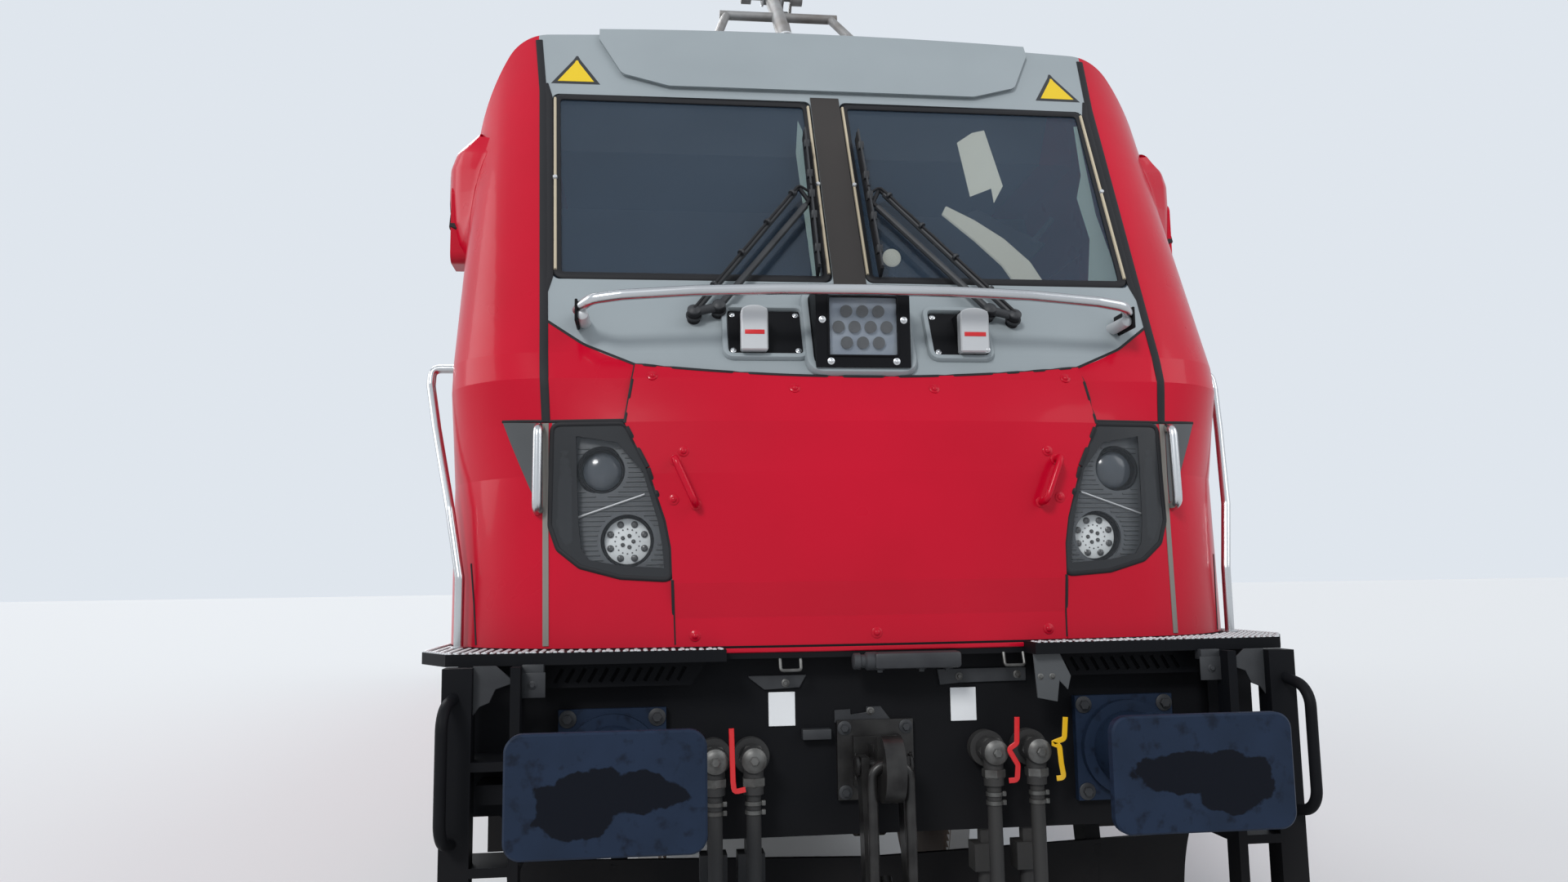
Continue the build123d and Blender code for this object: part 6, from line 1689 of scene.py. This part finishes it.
def buildBogies(look):
    coils, guides, caps, dampers, pipes = newMeshes(5)
    middle = -look["middle"]
    for spring in (look["secondary"], look["primary"]):
        for offset in spring["offsets"]:
            foot = Vector((look["springX"], middle + offset, spring["low"]))
            height = spring["high"] - spring["low"]
            addCoil(coils, foot, height, spring["radius"], spring["wire"], spring["turns"])
            inner = spring["radius"] - 2 * spring["wire"] - 0.006
            addRevolve(guides, foot, upWay, [(0, inner), (height, inner)], 20)
            cup = spring["radius"] + 0.004
            for z in (0, height - 0.010):
                addRevolve(guides, foot + upWay * z, upWay, [(0, cup), (0.010, cup)], 28)
    for axle in (-look["axle"], look["axle"]):
        centre = Vector((look["capX"], middle + axle, look["axleHeight"]))
        addRevolve(caps, centre - rightWay * 0.002, rightWay,
                   [(0, 0.090), (0.006, 0.090), (0.009, 0.085), (0.009, 0.052), (0.020, 0.048),
                    (0.030, 0.046), (0.034, 0.040)], 32)
        hub = centre + rightWay * 0.007
        for spot in circleOf(hub, -frontWay, upWay, look["capRing"], look["capBolts"], 0.5):
            addBolt(caps, spot, rightWay, 0.008)
        addTube(pipes, [centre + Vector(step) for step in look["cable"]], 0.010, 0.06, 10)
    foot = Vector(look["damper"]) + Vector((0, middle, 0))
    head = foot + upWay * look["damperLength"]
    addRod(dampers, foot, foot + upWay * 0.17, 0.038, 0.004, 20)
    addRod(dampers, foot + upWay * 0.15, head, 0.030, 0.003, 20)
    for eye in (foot, head):
        addRod(dampers, eye - rightWay * 0.085, eye + rightWay * 0.020, 0.024, 0.003, 16)
    addBox(dampers, foot, (-0.12, -0.045), (-0.035, 0.035), (-0.045, 0.035), 0.005)
    x, reach, z = look["hopper"]
    for sign in (-1, 1):
        hopper = Vector((x, middle + sign * reach, z))
        addBox(pipes, hopper, (-0.10, 0.13), (-0.07, 0.07), (-0.02, 0.12), 0.012)
        addTube(pipes, [hopper + Vector((a, sign * b, c)) for a, b, c in look["sandPipe"]], 0.017, 0.12, 12)
    addMirrors(coils, guides, caps, dampers, pipes)
    for piece in makePiece("bogieSprings", coils, "springBlack", "bogie_paint", body="bogie_{end}"):
        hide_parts("springs_" + piece.name.rsplit("_", 1)[1])
    makePieces([
        ("springGuides", guides, "bogieBlack", "bogie_paint"),
        ("axleCovers", caps, "darkMetal", "bogie_paint"),
        ("bogieDampers", dampers, "darkMetal", "bogie_paint"),
        ("sandPipes", pipes, "bogieBlack", "bogie_paint"),
    ], body="bogie_{end}")
    for label, offset in (("outer", -look["axle"]), ("inner", look["axle"])):
        discs, bolts = newMeshes(2)
        centre = Vector((0, middle + offset, look["axleHeight"]))
        inner, outer = look["discInner"], look["discOuter"]
        addRevolve(discs, centre + rightWay * look["discX"], rightWay,
                   [(0, inner), (0.046, inner), (0.050, inner + 0.006), (0.050, outer - 0.006),
                    (0.046, outer), (0, outer)], 56, loop=True)
        hub = centre + rightWay * (look["discX"] + 0.050)
        for spot in circleOf(hub, -frontWay, upWay, look["boltRing"], look["discBolts"], 0.5):
            addBolt(bolts, spot, rightWay, 0.012)
        addMirrors(discs, bolts)
        makePiece("brakeDiscs_" + label, discs, "discSteel", "wheel_steel", body="wheelset_{end}_" + label)
        makePiece("discBolts_" + label, bolts, "darkMetal", "wheel_steel", body="wheelset_{end}_" + label)


def onTread(x, depth, z, normal):
    # A face round a wheel, outside the tread's radius and turned away from the side
    look = bogieLook
    aside = abs(abs(halfLength - depth - look["middle"]) - look["axle"])
    near, far = look["treadX"]
    outside = hypot(aside, z - look["axleHeight"]) > look["treadRadius"]
    return outside and abs(normal[0]) < 0.5 and near < abs(x) < far


for end in ("front", "rear"):
    for label in ("outer", "inner"):
        paintFaces(f"wheelset_{end}_{label}", "tread", onTread)
buildBogies(bogieLook)
print("stage: bogies")


# Transformer and underframe: cooling ribs, flange bolts, pipes and a drain
tankLook = {
    "half": 1.180, "reach": 1.900, "margin": 0.08, "ribPitch": 0.110, "ribDepth": 0.045, "ribHalf": 0.006,
    "ribLow": 0.420, "ribHigh": 1.230, "flange": 1.300, "boltPitch": 0.19, "drain": (1.60, 0.365),
}


def buildTank(look):
    ribs, bolts = newMeshes(2)
    half, reach = look["half"], look["reach"]
    last = reach - look["margin"]
    count = round(2 * last / look["ribPitch"])
    for k in range(count + 1):
        y = -last + 2 * last * k / count
        span = (y - look["ribHalf"], y + look["ribHalf"])
        addBox(ribs, middlePlace, (half - 0.004, half + look["ribDepth"]), span,
               (look["ribLow"], look["ribHigh"]), 0.002)
    flange = look["flange"]
    addBox(ribs, middlePlace, (half - 0.004, half + 0.050), (-reach, reach),
           (flange - 0.012, flange + 0.012), 0.004)
    pipe = Vector((half + 0.045, 0, look["ribLow"] - 0.03))
    addRod(ribs, pipe + frontWay * (reach - 0.06), pipe - frontWay * (reach - 0.06), 0.026, 0.004, 16)
    count = round(2 * reach / look["boltPitch"])
    for k in range(count):
        y = -reach + 2 * reach * (k + 0.5) / count
        addBolt(bolts, Vector((half + 0.028, y, flange + 0.012)), upWay, 0.010)
    drain = Vector((half, *look["drain"]))
    addRod(bolts, drain + rightWay * 0.002, drain + rightWay * 0.060, 0.022, 0.004, 16)
    addMirrors(ribs, bolts)
    makePiece("tankRibs", ribs, "frameBlack", "frame_paint", bothEnds=False)
    makePiece("tankBolts", bolts, "darkMetal", "frame_paint", bothEnds=False)


buildTank(tankLook)
print("stage: transformer")


# Wipers: rubber edge, spine clips, domed caps on the pivots and the washer hose along the arm
wiperLook = {
    "pivots": [(-0.595, 0.729, 2.639), (-0.505, 0.742, 2.663)],
    "elbows": [(-0.163, 1.048, 3.230), (-0.128, 1.010, 3.160)],
    "blade": [(-0.121, 0.834, 2.838), (-0.112, 1.210, 3.530)], "clips": (0.12, 0.35, 0.5, 0.65, 0.88),
    "hoseSteps": 12, "hoseClips": (2, 5, 8, 11), "hoseSway": 0.004, "hoseWave": 3.1,
    "ahead": (0, -1, 0.62),
}


def buildWipers(look):
    clips, hose = newMeshes(2)
    ahead = Vector(look["ahead"]).normalized()
    low, high = atEnd(*look["blade"][0]), atEnd(*look["blade"][1])
    for share in look["clips"]:
        spot = low.lerp(high, share) + ahead * 0.012
        addBox(clips, spot, (-0.011, 0.011), (-0.016, 0.016), (-0.016, 0.016), 0.003)
    addRod(clips, low + ahead * 0.020, high + ahead * 0.020, 0.0045, 0.001, 8)
    for pivot in look["pivots"]:
        place = atEnd(*pivot) + ahead * 0.009
        addRevolve(clips, place, ahead, [(0, 0.025), (0.006, 0.024), (0.012, 0.016), (0.015, 0)], 20)
        addRing(clips, place - ahead * 0.03, ahead, 0.0245, 0.029, 0.008, 20)
    start, end = atEnd(*look["pivots"][0]) + ahead * 0.020, atEnd(*look["elbows"][0]) + ahead * 0.014
    steps, wave = look["hoseSteps"], look["hoseWave"]
    path = [start.lerp(end, k / steps) + ahead * look["hoseSway"] * sin(wave * k) for k in range(steps + 1)]
    path += [end + Vector((0.045, 0.004, -0.030)), low.lerp(high, 0.56) + ahead * 0.026]
    addRod(clips, atEnd(*look["pivots"][0]), atEnd(*look["pivots"][1]), 0.017, 0.003, 12)
    for pivot, elbow in zip(look["pivots"], look["elbows"]):
        foot, tip = atEnd(*pivot), atEnd(*elbow)
        addRod(clips, foot.lerp(tip, 0.02), foot.lerp(tip, 0.96), 0.0135, 0.003, 10)
    addTube(hose, path, 0.0055, 0.02, 8)
    for k in look["hoseClips"]:
        spot = start.lerp(end, k / steps)
        addRevolve(clips, spot, end - start, [(0, 0.014), (0.010, 0.014)], 12)
    addMirrors(clips, hose)
    makePiece("wiperClips", clips, "darkMetal", "hose_rubber")
    makePiece("washerHoses", hose, "rubber", "hose_rubber")


buildWipers(wiperLook)
print("stage: wipers")


# Floor, backdrop and lights
stageLook = {
    "floorSize": 600, "floor": (0.60, 0.605, 0.61), "backdrop": (0.74, 0.79, 0.85),
    "glow": (0.84, 0.91, 1.0), "glowStrength": 0.55,
}


def addStage():
    mesh = bpy.data.meshes.new("floor")
    s = stageLook["floorSize"] / 2
    mesh.from_pydata([(-s, -s, 0), (s, -s, 0), (s, s, 0), (-s, s, 0)], [], [(0, 1, 2, 3)])
    floor = bpy.data.objects.new("floor", mesh)
    bpy.context.collection.objects.link(floor)
    material, _, shader = newMaterial("paleFloor")
    shader.inputs["Base Color"].default_value = (*stageLook["floor"], 1)
    shader.inputs["Roughness"].default_value = 0.85
    mesh.materials.append(material)
    world = bpy.data.worlds.new("studio")
    bpy.context.scene.world = world
    world.use_nodes = True
    worldTree = world.node_tree
    worldTree.nodes.clear()
    output = worldTree.nodes.new("ShaderNodeOutputWorld")
    glow = worldTree.nodes.new("ShaderNodeBackground")
    glow.inputs[0].default_value = (*stageLook["glow"], 1)
    glow.inputs[1].default_value = stageLook["glowStrength"]
    seen = worldTree.nodes.new("ShaderNodeBackground")
    seen.inputs[0].default_value = (*stageLook["backdrop"], 1)
    path = worldTree.nodes.new("ShaderNodeLightPath")
    factor = path.outputs["Is Camera Ray"]
    for ray in ("Is Glossy Ray", "Is Transmission Ray"):
        factor = mathNode(worldTree, "MAXIMUM", factor, path.outputs[ray])
    blend = worldTree.nodes.new("ShaderNodeMixShader")
    worldTree.links.new(factor, blend.inputs[0])
    worldTree.links.new(glow.outputs[0], blend.inputs[1])
    worldTree.links.new(seen.outputs[0], blend.inputs[2])
    worldTree.links.new(blend.outputs[0], output.inputs[0])


lampSetup = [
    # name, the way its light falls, strength, softness in degrees
    ("keyLight", (0.42, 0.80, -0.62), 1.6, 14),
    ("fillLight", (-0.75, 0.45, -0.55), 0.7, 40),
    ("backLight", (0.25, -0.85, -0.75), 1.3, 30),
    ("sideLight", (0.95, -0.15, -0.45), 0.8, 40),
]


def addLights():
    for name, falls, strength, softness in lampSetup:
        data = bpy.data.lights.new(name, "SUN")
        data.energy = strength
        data.angle = radians(softness)
        lamp = bpy.data.objects.new(name, data)
        bpy.context.collection.objects.link(lamp)
        lamp.rotation_euler = Vector(falls).to_track_quat("-Z", "Y").to_euler()


addStage()
addLights()
bpy.context.scene.view_settings.view_transform = "Standard"
print("stage: floor and lights, pieces", pieceCount["pieces"], "triangles", pieceCount["triangles"])
